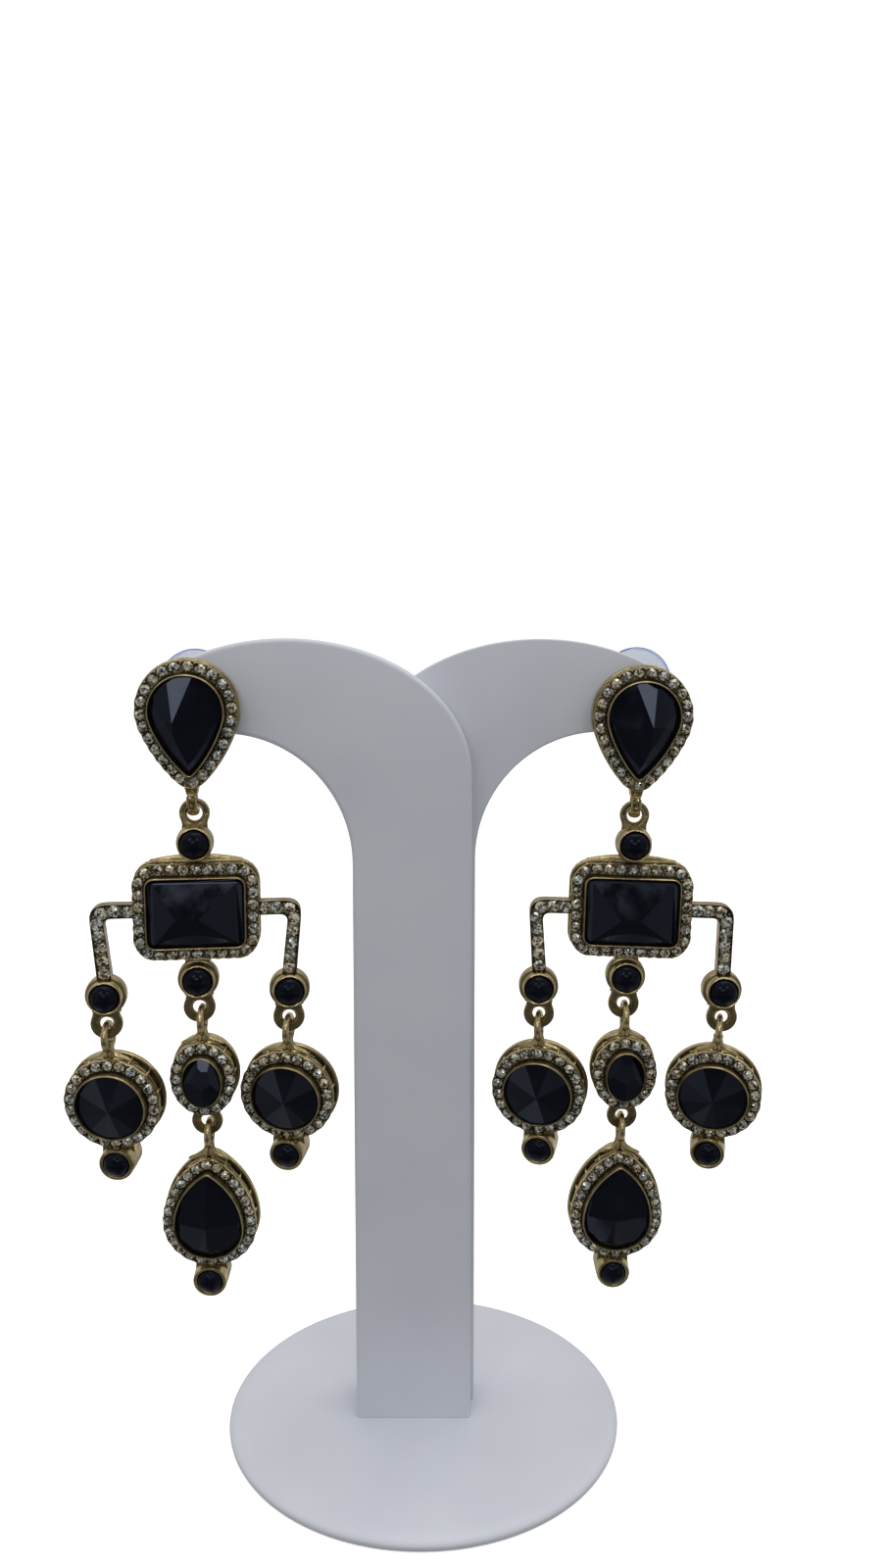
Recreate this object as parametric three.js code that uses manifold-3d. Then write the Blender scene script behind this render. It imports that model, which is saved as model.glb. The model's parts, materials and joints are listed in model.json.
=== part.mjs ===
// A pair of chandelier earrings hanging on a plain two-armed display stand.
// Millimetres, +Z up. The front faces -Y, and the origin is the middle of the foot's underside.

import * as THREE from 'three';
import Module from 'manifold-3d';
import { mergeVertices } from 'three/addons/utils/BufferGeometryUtils.js';

const wasm = await Module();
wasm.setup();

// ---------------------------------------------------------------- driving sizes

// Stand: a round foot, and two flat J-shaped plates back to back. Each plate is drawn for the left
// arm, about the middle of its own post, and mirrored for the right one.
const FOOT = { radius: 29.6, height: 1.8, edge: 1 };
const PLATE = { thickness: 4.6, halfPost: 8.6, leftMiddle: -1.5, rightMiddle: -0.9 };
const ARM_TOP = { x: -17.9, z: 99.3, halfWidth: 26.5, halfHeight: 19.3 };
const ARM_UNDERSIDE = { x: -27, z: 86.3, halfWidth: 18.4, halfHeight: 18.8 };
const ARM_TIP = { startX: -30, endX: -35.8, z: 110.8, slope: 0.37, lead: 3.2 };
const POST_HOLE_RADIUS = 1.1;

// Settings, measured outwards from the stone's visible edge and forwards from the plane of the links.
// The stud's back lies in that plane, and the hanging castings reach behind it.
const BEZEL = { wall: 0.35, top: 3.4 };
const PAVE = { width: 1.8, inner: 2.4, outer: 2.1, underside: 1.6 };
const GALLERY = { depth: 0.4 };
const RIM = { height: 0.85, flare: 0.15 };
const BACK = { stud: 0, hanging: -1.2 };
const SEAT_FLOOR = 1.3;
const STONE = { gap: 0.1, girdle: 3.1, shoulder: 3.6, shoulderShare: 0.7, apex: 3.9 };

// Visible outlines of the stones.
const STUD_PEAR = { lobe: 5, point: 8.8, tip: 0.5, waist: 20 };
const DROP_PEAR = { lobe: 4.95, point: 9, tip: 0.5, waist: 0 };
const RECTANGLE = { halfWidth: 6.72, halfHeight: 4.85, corner: 0.9 };
const ROUND = { radius: 4.95 };
const OVAL = { halfWidth: 2.68, halfHeight: 3.7 };

// Round cups for the small cabochons: low ones on the main casting, tall ones under the drops.
const CUP = { bezelRadius: 2.4, seatRadius: 2.1, floor: 1.0 };
const LOW_CUP = { radius: 2.95, shoulder: 2.0, top: 3.0, back: 0 };
const TALL_CUP = { radius: 2.65, shoulder: 1.9, top: 3.3, back: BACK.hanging };
const CABOCHON = { gap: 0.1, sink: 0.2, dome: 1.2 };

// Links: flat lugs with a hole, and wire loops that hang in them.
const LUG = { radius: 2.3, hole: 1.0, thickness: 0.7 };
const TOP_RING = { radius: 2.15, hole: 1.25, thickness: 0.8 };
const LOOP = { radius: 1.85, wire: 0.4, play: 0.3 };
const LOOP_BACK = 0.3;
const NECK = { rimTop: 4.5, top: 3.4, bottom: 6, topWidth: 1.1, bottomWidth: 3.2, thickness: 1.2 };
const STUD_LOOP = { inner: 1, outer: 1.5, width: 1.1, legs: 2.2, back: 1.4, drop: 12.9 };
const STUD_NECK = { topHalf: 1.7, bottomHalf: 0.85, lap: 1.2 };

// Main casting, measured down from the middle of its top ring's upper bar.
const FRAME = {
  topCup: -5.9, stone: -15.75, bottomCup: -25.8, lugBelowCup: 4.45, bridge: 3.4, bridgeLap: 0.3,
};
const CREST = { halfWidth: 6.6, rise: 0.75, thickness: 0.6 };
const ARM = { width: 2.1, cornerX: 14, top: 0.3, corner: 1.1, innerCorner: 0.4, cupLap: 0.8, endZ: -27.7 };
const DROP_CUP_BELOW_STONE = 9.25;
const OVAL_LUG_BELOW_STONE = 7.65;
const PEAR_NECK_LONGER = 0.6;

// Ear post and its clear disc clutch.
const EAR_POST = { radius: 0.4, length: 10.5, lap: 0.5 };
const CLUTCH = { radius: 5.35, bore: 0.6, disc: 1.0, barrel: 1.6, length: 4, standoff: 7.1 };

// How each earring sits: place of the stud's round end, and of the ear post about it. Lean tips a
// face down, roll turns it clockwise seen from the front, yaw turns it to face right, in degrees.
// The thin castings are a little bent: reach and droop place each arm's end, twist rolls its lug,
// and sway puts the bottom cup aside. Shift is a loop's sideways place in its lug.
const EARRINGS = [
  {
    name: 'left', outward: -1, plateFront: -PLATE.thickness,
    post: { x: 0.3, rise: 2.3 },
    stud: { x: -32.85, z: 108.65, lean: 7, roll: -1.5, yaw: 4 },
    frame: { shift: 0.2, lean: 2, roll: -0.1, yaw: 7 },
    arms: {
      outer: { reach: 13.05, droop: 0.1, twist: 2 }, inner: { reach: 13, droop: 0, twist: 2 },
      sway: 0,
    },
    outer: { shift: 0, lean: 9, roll: -1.5, yaw: -4 },
    inner: { shift: -0.1, lean: 8.5, roll: 2, yaw: -8 },
    oval: { shift: 0.3, lean: 9, roll: 0.3, yaw: 0 },
    pear: { shift: 0.25, lean: 9, roll: 1.5, yaw: 0 },
  },
  {
    name: 'right', outward: 1, plateFront: 0,
    post: { x: 0, rise: 3.6 },
    stud: { x: 31.7, z: 107.65, lean: 7, roll: 3, yaw: 0 },
    frame: { shift: 0, lean: 2, roll: 1.5, yaw: -2 },
    arms: {
      outer: { reach: 14, droop: -0.25, twist: -5 }, inner: { reach: 13.1, droop: 0.15, twist: -3 },
      sway: -0.3,
    },
    outer: { shift: -0.2, lean: 7.5, roll: 3.8, yaw: -13 },
    inner: { shift: 0, lean: 8, roll: 0, yaw: -13 },
    oval: { shift: 0.25, lean: 8, roll: -0.5, yaw: 0 },
    pear: { shift: -0.05, lean: 8, roll: 1.7, yaw: 0 },
  },
];

// ---------------------------------------------------------------- materials

const finish = (color, roughness, metalness) =>
  new THREE.MeshStandardMaterial({ color, roughness, metalness });
const MATERIALS = {
  plastic: finish('#d3d6dc', 0.5, 0),
  metal: finish('#8c7c52', 0.4, 1),
  glass: finish('#0e1018', 0.12, 0),
  clear: finish('#dfe5ea', 0.2, 0),
};

// ---------------------------------------------------------------- solids

const radians = THREE.MathUtils.degToRad;
const SLIVER = 0.01;

// A closed geometry as a manifold solid, with its shared vertices merged.
function solid(geometry) {
  const bare = new THREE.BufferGeometry();
  bare.setAttribute('position', geometry.getAttribute('position'));
  bare.setIndex(geometry.index);
  const merged = mergeVertices(bare, 1e-4);
  const corners = Array.from(merged.index.array);
  const triangles = [];
  for (let i = 0; i < corners.length; i += 3) {
    const [a, b, c] = corners.slice(i, i + 3);
    if (a !== b && b !== c && c !== a) triangles.push(a, b, c);
  }
  return new wasm.Manifold(new wasm.Mesh({
    numProp: 3,
    vertProperties: new Float32Array(merged.getAttribute('position').array),
    triVerts: new Uint32Array(triangles),
  }));
}

function geometryOf(manifold) {
  const mesh = manifold.getMesh();
  const geometry = new THREE.BufferGeometry();
  geometry.setAttribute('position', new THREE.BufferAttribute(mesh.vertProperties, 3));
  geometry.setIndex(new THREE.BufferAttribute(mesh.triVerts, 1));
  geometry.computeVertexNormals();
  return geometry;
}

// One casting made of overlapping geometries, without the slivers that joining leaves.
function cast(geometries) {
  const whole = geometries.map(solid).reduce((joined, piece) => joined.add(piece));
  return geometryOf(whole.simplify(SLIVER));
}

// A flat plate cut to a shape in the XZ plane, its back face at y = back.
function plate(shape, thickness, back, steps) {
  const geometry = new THREE.ExtrudeGeometry(shape, {
    depth: thickness, bevelEnabled: false, curveSegments: steps,
  });
  return geometry.rotateX(Math.PI / 2).translate(0, back, 0);
}

function polygon(points) {
  return new THREE.Shape(points.map(([x, z]) => new THREE.Vector2(x, z)));
}

// ---------------------------------------------------------------- outlines

// An outline is a closed list of points with outward normals, counter-clockwise from the front.
function arcOutline(arcs) {
  const points = [];
  for (const { x, z, radius, from, to, steps } of arcs) {
    for (let i = 0; i <= steps; i += 1) {
      const angle = radians(from + (to - from) * i / steps);
      const normal = new THREE.Vector2(Math.cos(angle), Math.sin(angle));
      const point = normal.clone().multiplyScalar(radius).add(new THREE.Vector2(x, z));
      const previous = points.at(-1);
      if (!previous || previous.point.distanceTo(point) > 1e-4) points.push({ point, normal });
    }
  }
  if (points[0].point.distanceTo(points.at(-1).point) < 1e-4) points.pop();
  return points;
}

// A pear about the middle of its round end: lobe, two long side arcs and a small tip, point down.
function pearOutline({ lobe, point, tip, waist }) {
  const tipZ = point - tip;
  const narrowing = lobe - tip;
  const reach = (tipZ ** 2 - narrowing ** 2) / (2 * (narrowing - Math.sin(radians(waist)) * tipZ));
  const x = reach * Math.cos(radians(waist));
  const z = reach * Math.sin(radians(waist));
  const radius = lobe + reach;
  const turn = THREE.MathUtils.radToDeg(Math.atan2(tipZ + z, x));
  return arcOutline([
    { x: 0, z: 0, radius: lobe, from: -waist, to: 180 + waist, steps: 12 },
    { x, z, radius, from: 180 + waist, to: 180 + turn, steps: 5 },
    { x: 0, z: -tipZ, radius: tip, from: 180 + turn, to: 360 - turn, steps: 2 },
    { x: -x, z, radius, from: 360 - turn, to: 360 - waist, steps: 5 },
  ]);
}

function pointUp(outline) {
  return outline.map(({ point, normal }) => ({
    point: point.clone().negate(), normal: normal.clone().negate(),
  }));
}

function rectangleOutline({ halfWidth, halfHeight, corner }) {
  const x = halfWidth - corner;
  const z = halfHeight - corner;
  const corners = [[x, -z, -90], [x, z, 0], [-x, z, 90], [-x, -z, 180]];
  return arcOutline(corners.map(([cornerX, cornerZ, from]) => (
    { x: cornerX, z: cornerZ, radius: corner, from, to: from + 90, steps: 4 })));
}

function roundOutline(radius, steps) {
  return arcOutline([{ x: 0, z: 0, radius, from: 0, to: 360, steps }]);
}

function ovalOutline({ halfWidth, halfHeight }, steps) {
  return Array.from({ length: steps }, (_, i) => {
    const angle = 2 * Math.PI * i / steps;
    const point = new THREE.Vector2(halfWidth * Math.cos(angle), halfHeight * Math.sin(angle));
    const normal = new THREE.Vector2(halfHeight * Math.cos(angle), halfWidth * Math.sin(angle));
    return { point, normal: normal.normalize() };
  });
}

// A closed solid round an outline, its rows from the front's middle outwards and round to the
// back's middle. Each row is a spread from the outline, a height in front of the back plane and,
// where it is a smaller copy, its share of the outline's size.
function loft(outline, frontHeight, rows, backHeight) {
  const positions = [0, -frontHeight, 0];
  for (const [spread, front, share = 1] of rows) {
    for (const { point, normal } of outline) {
      const x = share * point.x + spread * normal.x;
      const z = share * point.y + spread * normal.y;
      positions.push(x, -front, z);
    }
  }
  positions.push(0, -backHeight, 0);
  const count = outline.length;
  const last = 1 + rows.length * count;
  const at = (row, i) => 1 + row * count + i % count;
  const index = [];
  for (let i = 0; i < count; i += 1) {
    index.push(0, at(0, i), at(0, i + 1));
    for (let row = 0; row < rows.length - 1; row += 1) {
      index.push(at(row, i), at(row + 1, i), at(row, i + 1));
      index.push(at(row, i + 1), at(row + 1, i), at(row + 1, i + 1));
    }
    index.push(last, at(rows.length - 1, i + 1), at(rows.length - 1, i));
  }
  const geometry = new THREE.BufferGeometry();
  geometry.setAttribute('position', new THREE.Float32BufferAttribute(positions, 3));
  geometry.setIndex(index);
  return geometry;
}

// ---------------------------------------------------------------- settings and stones

// A bezel with a sloping pave band round it, an open gallery groove and a back rim.
function setting(outline, back) {
  const band = BEZEL.wall + PAVE.width;
  const inset = band - GALLERY.depth;
  const rim = band + RIM.flare;
  const rimTop = back + RIM.height;
  return loft(outline, SEAT_FLOOR, [
    [0, SEAT_FLOOR], [0, BEZEL.top], [BEZEL.wall, BEZEL.top], [BEZEL.wall, PAVE.inner],
    [band, PAVE.outer], [band, PAVE.underside], [inset, PAVE.underside], [inset, rimTop],
    [rim, rimTop], [rim, back],
  ], back);
}

function stone(outline) {
  const floor = SEAT_FLOOR + STONE.gap;
  return loft(outline, STONE.apex, [
    [0, STONE.shoulder, STONE.shoulderShare], [-STONE.gap, STONE.girdle], [-STONE.gap, floor],
  ], floor);
}

const CUP_STEPS = 12;

function cup({ radius, shoulder, top, back }) {
  const profile = [
    [0, CUP.floor], [CUP.seatRadius, CUP.floor], [CUP.seatRadius, top], [CUP.bezelRadius, top],
    [radius, shoulder], [radius, back], [0, back],
  ];
  const points = profile.map(([x, front]) => new THREE.Vector2(x, -front));
  return new THREE.LatheGeometry(points, CUP_STEPS);
}

function cabochon({ top }) {
  const radius = CUP.seatRadius - CABOCHON.gap;
  const floor = CUP.floor + CABOCHON.gap;
  const girdle = top - CABOCHON.sink;
  const profile = [[0, floor], [radius, floor], [radius, girdle]];
  for (const angle of [45, 90]) {
    const spread = radius * Math.cos(radians(angle));
    profile.push([Math.max(spread, 0), girdle + CABOCHON.dome * Math.sin(radians(angle))]);
  }
  profile.at(-1)[0] = 0;
  const points = profile.reverse().map(([x, front]) => new THREE.Vector2(x, -front));
  return new THREE.LatheGeometry(points, CUP_STEPS);
}

// ---------------------------------------------------------------- links

function ringPlate({ radius, hole, thickness }, back, steps) {
  const shape = new THREE.Shape().absarc(0, 0, radius, 0, 2 * Math.PI);
  shape.holes.push(new THREE.Path().absarc(0, 0, hole, 0, 2 * Math.PI, true));
  return plate(shape, thickness, back, steps);
}

// The loop and flared neck that every drop hangs by, the loop's upper wire at the origin.
function loopAndNeck(longer) {
  const loop = new THREE.TorusGeometry(LOOP.radius, LOOP.wire, 6, 12)
    .rotateY(Math.PI / 2).translate(0, 0, -LOOP.radius);
  const bottom = -NECK.bottom - longer;
  const neck = plate(polygon([
    [-NECK.topWidth / 2, -NECK.top], [-NECK.bottomWidth / 2, bottom],
    [NECK.bottomWidth / 2, bottom], [NECK.topWidth / 2, -NECK.top],
  ]), NECK.thickness, LOOP_BACK, 1);
  return [loop, neck];
}

// ---------------------------------------------------------------- castings

const BAND_REACH = BEZEL.wall + PAVE.width + RIM.flare;
const STUD_OUTLINE = pearOutline(STUD_PEAR);
const PEAR_OUTLINE = pointUp(pearOutline(DROP_PEAR));
const FRAME_OUTLINE = rectangleOutline(RECTANGLE);
const ROUND_OUTLINE = roundOutline(ROUND.radius, 24);
const OVAL_OUTLINE = ovalOutline(OVAL, 20);

// The stud: setting, ear post behind, and below it a neck with the loop the main casting hangs in.
function studCasting(at) {
  const { inner, outer, width, legs, back, drop } = STUD_LOOP;
  const { radius, length, lap } = EAR_POST;
  const post = new THREE.CylinderGeometry(radius, radius, length + lap, 10)
    .translate(at.x, (length - lap) / 2, at.rise);
  const bend = new THREE.Shape();
  bend.moveTo(outer, legs);
  bend.lineTo(-outer, legs);
  bend.lineTo(-outer, 0);
  bend.absarc(0, 0, outer, Math.PI, 2 * Math.PI);
  bend.holes.push(new THREE.Path().absarc(0, 0, inner, 0, 2 * Math.PI, false));
  const loop = new THREE.ExtrudeGeometry(bend, { depth: width, bevelEnabled: false, curveSegments: 8 })
    .translate(0, 0, -width / 2).rotateX(Math.PI / 2).rotateZ(Math.PI / 2)
    .translate(0, -back, -drop);
  const { topHalf, bottomHalf } = STUD_NECK;
  const neckTop = -STUD_PEAR.point;
  const neckEnd = STUD_NECK.lap - drop;
  const neck = plate(polygon([
    [-topHalf, neckTop], [-bottomHalf, neckEnd], [bottomHalf, neckEnd], [topHalf, neckTop],
  ]), PAVE.outer, 0, 1);
  return cast([setting(STUD_OUTLINE, BACK.stud), post, neck, loop]);
}

// One L-shaped pave arm for the +X side, from inside the rectangle's border to the end cup.
function paveArm({ reach, droop }) {
  const half = ARM.width / 2;
  const top = FRAME.stone + ARM.top;
  const start = RECTANGLE.halfWidth + BEZEL.wall + PAVE.width / 2;
  const facet = ARM.corner * (1 - Math.SQRT1_2);
  const inX = ARM.cornerX - half;
  const outX = ARM.cornerX + half;
  const underZ = top - half - droop;
  const overZ = top + half - droop;
  const endZ = ARM.endZ + LOW_CUP.radius - ARM.cupLap - droop;
  return plate(polygon([
    [start, top - half], [inX - ARM.innerCorner, underZ], [inX, underZ - ARM.innerCorner],
    [reach - half, endZ], [reach + half, endZ],
    [outX, overZ - ARM.corner], [outX - facet, overZ - facet], [outX - ARM.corner, overZ],
    [start, top + half],
  ]), PAVE.outer, 0, 1);
}

// Places on the main casting of the four cups and the three lugs, in its own XZ plane.
function framePlaces({ outward, arms }) {
  const endCup = (side, { reach, droop }) => ({ x: side * reach, z: ARM.endZ - droop });
  const cups = {
    top: { x: 0, z: FRAME.topCup },
    bottom: { x: arms.sway, z: FRAME.bottomCup },
    outer: endCup(outward, arms.outer),
    inner: endCup(-outward, arms.inner),
  };
  const lugBelow = ({ x, z }, twist) => ({
    x: x - FRAME.lugBelowCup * Math.sin(radians(twist)),
    z: z - FRAME.lugBelowCup * Math.cos(radians(twist)),
  });
  return {
    cups,
    lugs: {
      outer: lugBelow(cups.outer, arms.outer.twist),
      inner: lugBelow(cups.inner, arms.inner.twist),
      oval: lugBelow(cups.bottom, 0),
    },
  };
}

// The arched crest of the back rim, over the rectangle's upper edge.
function crest() {
  const base = FRAME.stone + RECTANGLE.halfHeight + BEZEL.wall + PAVE.width / 2;
  const shape = new THREE.Shape();
  shape.moveTo(-CREST.halfWidth, base);
  shape.lineTo(CREST.halfWidth, base);
  const edge = FRAME.stone + RECTANGLE.halfHeight + BAND_REACH;
  shape.lineTo(CREST.halfWidth, edge);
  shape.quadraticCurveTo(0, edge + 2 * CREST.rise, -CREST.halfWidth, edge);
  return plate(shape, CREST.thickness, -BACK.hanging, 8);
}

// The main casting. Its back plane is at y = 0 and its top ring's upper bar at z = 0.
function frameCasting(earring) {
  const { cups, lugs } = framePlaces(earring);
  const { outward, arms } = earring;
  const ringZ = -(TOP_RING.radius + TOP_RING.hole) / 2;
  const bridgeTop = FRAME.stone - RECTANGLE.halfHeight - BEZEL.wall;
  const bridgeEnd = FRAME.bottomCup + LOW_CUP.radius - FRAME.bridgeLap;
  const [bridgeLeft, bridgeRight] = [arms.sway - FRAME.bridge / 2, arms.sway + FRAME.bridge / 2];
  const rightArm = outward > 0 ? arms.outer : arms.inner;
  const leftArm = outward > 0 ? arms.inner : arms.outer;
  return cast([
    setting(FRAME_OUTLINE, BACK.hanging).translate(0, 0, FRAME.stone),
    crest(),
    ringPlate(TOP_RING, 0, 9).translate(0, 0, ringZ),
    plate(polygon([
      [bridgeLeft, bridgeEnd], [bridgeRight, bridgeEnd],
      [bridgeRight, bridgeTop], [bridgeLeft, bridgeTop],
    ]), PAVE.underside, 0, 1),
    paveArm(rightArm),
    mirrored(paveArm(leftArm)),
    ...Object.values(cups).map(({ x, z }) => cup(LOW_CUP).translate(x, 0, z)),
    ...Object.values(lugs).map(({ x, z }) => ringPlate(LUG, 0, 8).translate(x, 0, z)),
  ]);
}

// A geometry mirrored in the YZ plane, with its faces turned outwards again.
function mirrored(geometry) {
  const copy = geometry.clone().scale(-1, 1, 1);
  const position = copy.getAttribute('position');
  const corners = Array.from({ length: position.count }, (_, i) => i);
  for (let i = 0; i < corners.length; i += 3) corners.splice(i, 3, i + 2, i + 1, i);
  copy.setIndex(corners);
  return copy;
}

// Height of a drop's stone below the loop's upper wire, from how far its outline reaches up.
const roundDrop = -(NECK.rimTop + ROUND.radius + BAND_REACH);
const ovalDrop = -(NECK.rimTop + OVAL.halfHeight + BAND_REACH);
const pearDrop = -(NECK.rimTop + PEAR_NECK_LONGER + DROP_PEAR.point + BAND_REACH);

function dropCasting(outline, stoneZ, extras, longer = 0) {
  const parts = [setting(outline, BACK.hanging), ...extras];
  return cast([
    ...loopAndNeck(longer), ...parts.map((part) => part.translate(0, LOOP_BACK, stoneZ)),
  ]);
}

// ---------------------------------------------------------------- stand

function foot() {
  const { radius, height, edge } = FOOT;
  const facet = edge * (1 - Math.SQRT1_2);
  const points = [
    [0, height], [radius - edge, height], [radius - facet, height - facet],
    [radius, height - edge], [radius, edge / 2], [radius - edge / 2, 0], [0, 0],
  ];
  const profile = points.reverse().map(([x, y]) => new THREE.Vector2(x, y));
  return new THREE.LatheGeometry(profile, 40).rotateX(Math.PI / 2);
}

// The left arm's plate about the middle of its post, with a hole for the ear post in its tip.
function armPlate(hole) {
  const angleAt = ({ x, halfWidth }) => Math.acos((ARM_TIP.startX - x) / halfWidth);
  const heightAt = ({ z, halfHeight }, angle) => z + halfHeight * Math.sin(angle);
  const outerAngle = angleAt(ARM_TOP);
  const innerAngle = angleAt(ARM_UNDERSIDE);
  const top = heightAt(ARM_TOP, outerAngle);
  const under = heightAt(ARM_UNDERSIDE, innerAngle);
  const { startX, endX, z, slope, lead } = ARM_TIP;
  const shape = new THREE.Shape();
  shape.moveTo(-PLATE.halfPost, FOOT.height);
  shape.lineTo(PLATE.halfPost, FOOT.height);
  shape.absellipse(ARM_TOP.x, ARM_TOP.z, ARM_TOP.halfWidth, ARM_TOP.halfHeight, 0, outerAngle);
  shape.bezierCurveTo(startX - lead, top - slope * lead, endX, z + lead, endX, z);
  shape.bezierCurveTo(endX, z - lead, startX - lead, under, startX, under);
  shape.absellipse(ARM_UNDERSIDE.x, ARM_UNDERSIDE.z, ARM_UNDERSIDE.halfWidth,
    ARM_UNDERSIDE.halfHeight, innerAngle, 0, true);
  shape.lineTo(-PLATE.halfPost, FOOT.height);
  shape.holes.push(new THREE.Path().absarc(hole.x, hole.z, POST_HOLE_RADIUS, 0, 2 * Math.PI, true));
  return plate(shape, PLATE.thickness, 0, 7);
}

function clutch() {
  const { radius, bore, disc, barrel, length } = CLUTCH;
  const profile = [
    [bore, 0], [radius, 0], [radius, disc], [barrel, disc], [barrel, length], [bore, length],
    [bore, 0],
  ].map(([x, y]) => new THREE.Vector2(x, y));
  return new THREE.LatheGeometry(profile, 20);
}

// ---------------------------------------------------------------- assembly

function add(parent, name, geometry, material, [x, y, z] = [0, 0, 0]) {
  const mesh = new THREE.Mesh(geometry, material);
  mesh.name = name;
  mesh.position.set(x, y, z);
  parent.add(mesh);
}

const turnOf = ({ lean, roll, yaw }) => new THREE.Quaternion().setFromEuler(
  new THREE.Euler(radians(lean), radians(roll), radians(yaw), 'ZYX'));
const UPRIGHT = { lean: 0, roll: 0, yaw: 0 };

// A group at a place in its parent, with its lean, roll and yaw given in the part's own frame.
function hangingGroup(parent, [x, y, z], turn, parentTurn = UPRIGHT) {
  const group = new THREE.Group();
  group.position.set(x, y, z);
  group.quaternion.copy(turnOf(parentTurn)).invert().multiply(turnOf(turn));
  parent.add(group);
  return group;
}

const LUG_MIDDLE = -LUG.thickness / 2;
const PIVOT_BELOW_HOLE = -LOOP.play;

function hangDrop(earring, key, frameGroup, [x, z]) {
  const place = [x + earring[key].shift, LUG_MIDDLE, z + PIVOT_BELOW_HOLE];
  return hangingGroup(frameGroup, place, earring[key], earring.frame);
}

function addRoundDrop(earring, key, frameGroup, place) {
  const name = `${earring.name}_${key}_drop`;
  const group = hangDrop(earring, key, frameGroup, [place.x, place.z]);
  const cupAndFoot = cup(TALL_CUP).translate(0, 0, -DROP_CUP_BELOW_STONE);
  const casting = dropCasting(ROUND_OUTLINE, roundDrop, [cupAndFoot]);
  add(group, name, casting, MATERIALS.metal);
  add(group, `${name}_stone`, stone(ROUND_OUTLINE), MATERIALS.glass, [0, LOOP_BACK, roundDrop]);
  add(group, `${name}_cabochon`, cabochon(TALL_CUP), MATERIALS.glass,
    [0, LOOP_BACK, roundDrop - DROP_CUP_BELOW_STONE]);
}

function addOvalAndPear(earring, frameGroup, place) {
  const { name, oval, pear } = earring;
  const ovalGroup = hangDrop(earring, 'oval', frameGroup, [place.x, place.z]);
  const lug = ringPlate(LUG, 0, 8).translate(0, 0, -OVAL_LUG_BELOW_STONE);
  const ovalCasting = dropCasting(OVAL_OUTLINE, ovalDrop, [lug]);
  add(ovalGroup, `${name}_oval_link`, ovalCasting, MATERIALS.metal);
  add(ovalGroup, `${name}_oval_link_stone`, stone(OVAL_OUTLINE), MATERIALS.glass,
    [0, LOOP_BACK, ovalDrop]);

  const holeZ = ovalDrop - OVAL_LUG_BELOW_STONE;
  const pivot = [pear.shift, LOOP_BACK + LUG_MIDDLE, holeZ + PIVOT_BELOW_HOLE];
  const pearGroup = hangingGroup(ovalGroup, pivot, pear, oval);
  const pearCup = cup(TALL_CUP).translate(0, 0, -DROP_CUP_BELOW_STONE);
  const pearCasting = dropCasting(PEAR_OUTLINE, pearDrop, [pearCup], PEAR_NECK_LONGER);
  add(pearGroup, `${name}_pear_drop`, pearCasting, MATERIALS.metal);
  add(pearGroup, `${name}_pear_drop_stone`, stone(PEAR_OUTLINE), MATERIALS.glass,
    [0, LOOP_BACK, pearDrop]);
  add(pearGroup, `${name}_pear_drop_cabochon`, cabochon(TALL_CUP), MATERIALS.glass,
    [0, LOOP_BACK, pearDrop - DROP_CUP_BELOW_STONE]);
}

// Distance of a stud's back from its plate, at the round end's middle. The leaning, turned stud's
// back clears the plate by SEAT_GAP at the arm's lower edge.
const SEAT_GAP = 0.3;
const ARM_LOWER_EDGE = 104.8;
function studBack({ stud, plateFront }) {
  const turned = (STUD_PEAR.lobe + BAND_REACH) * Math.sin(Math.abs(radians(stud.yaw)));
  const leaning = (stud.z - ARM_LOWER_EDGE) * Math.tan(radians(stud.lean));
  return plateFront - SEAT_GAP - turned - leaning;
}

function addEarring(parent, earring) {
  const { name, post, stud, frame } = earring;
  const studGroup = hangingGroup(parent, [stud.x, studBack(earring), stud.z], stud);
  add(studGroup, `${name}_stud`, studCasting(post), MATERIALS.metal);
  add(studGroup, `${name}_stud_stone`, stone(STUD_OUTLINE), MATERIALS.glass);
  add(studGroup, `${name}_clutch`, clutch(), MATERIALS.clear, [post.x, CLUTCH.standoff, post.rise]);

  const pivot = [frame.shift, -STUD_LOOP.back, -STUD_LOOP.drop];
  const pivotGroup = hangingGroup(studGroup, pivot, frame, stud);
  const frameGroup = new THREE.Group();
  frameGroup.position.set(0, TOP_RING.thickness / 2, 0);
  pivotGroup.add(frameGroup);
  const { cups, lugs } = framePlaces(earring);
  add(frameGroup, `${name}_frame`, frameCasting(earring), MATERIALS.metal);
  add(frameGroup, `${name}_frame_stone`, stone(FRAME_OUTLINE), MATERIALS.glass,
    [0, 0, FRAME.stone]);
  for (const [place, { x, z }] of Object.entries(cups)) {
    add(frameGroup, `${name}_frame_cabochon_${place}`, cabochon(LOW_CUP), MATERIALS.glass, [x, 0, z]);
  }
  addRoundDrop(earring, 'outer', frameGroup, lugs.outer);
  addRoundDrop(earring, 'inner', frameGroup, lugs.inner);
  addOvalAndPear(earring, frameGroup, lugs.oval);
}

// Where an ear post crosses the middle of its plate, about the middle of that plate's post.
function postHole(earring, plateMiddleX) {
  const { stud, post, plateFront, outward } = earring;
  const lean = radians(stud.lean);
  const run = plateFront + PLATE.thickness / 2 - studBack(earring);
  const sideways = post.rise * Math.sin(radians(stud.roll)) - run * Math.tan(radians(stud.yaw));
  const x = stud.x + post.x + sideways;
  return {
    x: -Math.abs(outward * (x - plateMiddleX)),
    z: stud.z + post.rise * Math.cos(lean) + run * Math.tan(lean),
  };
}

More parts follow.
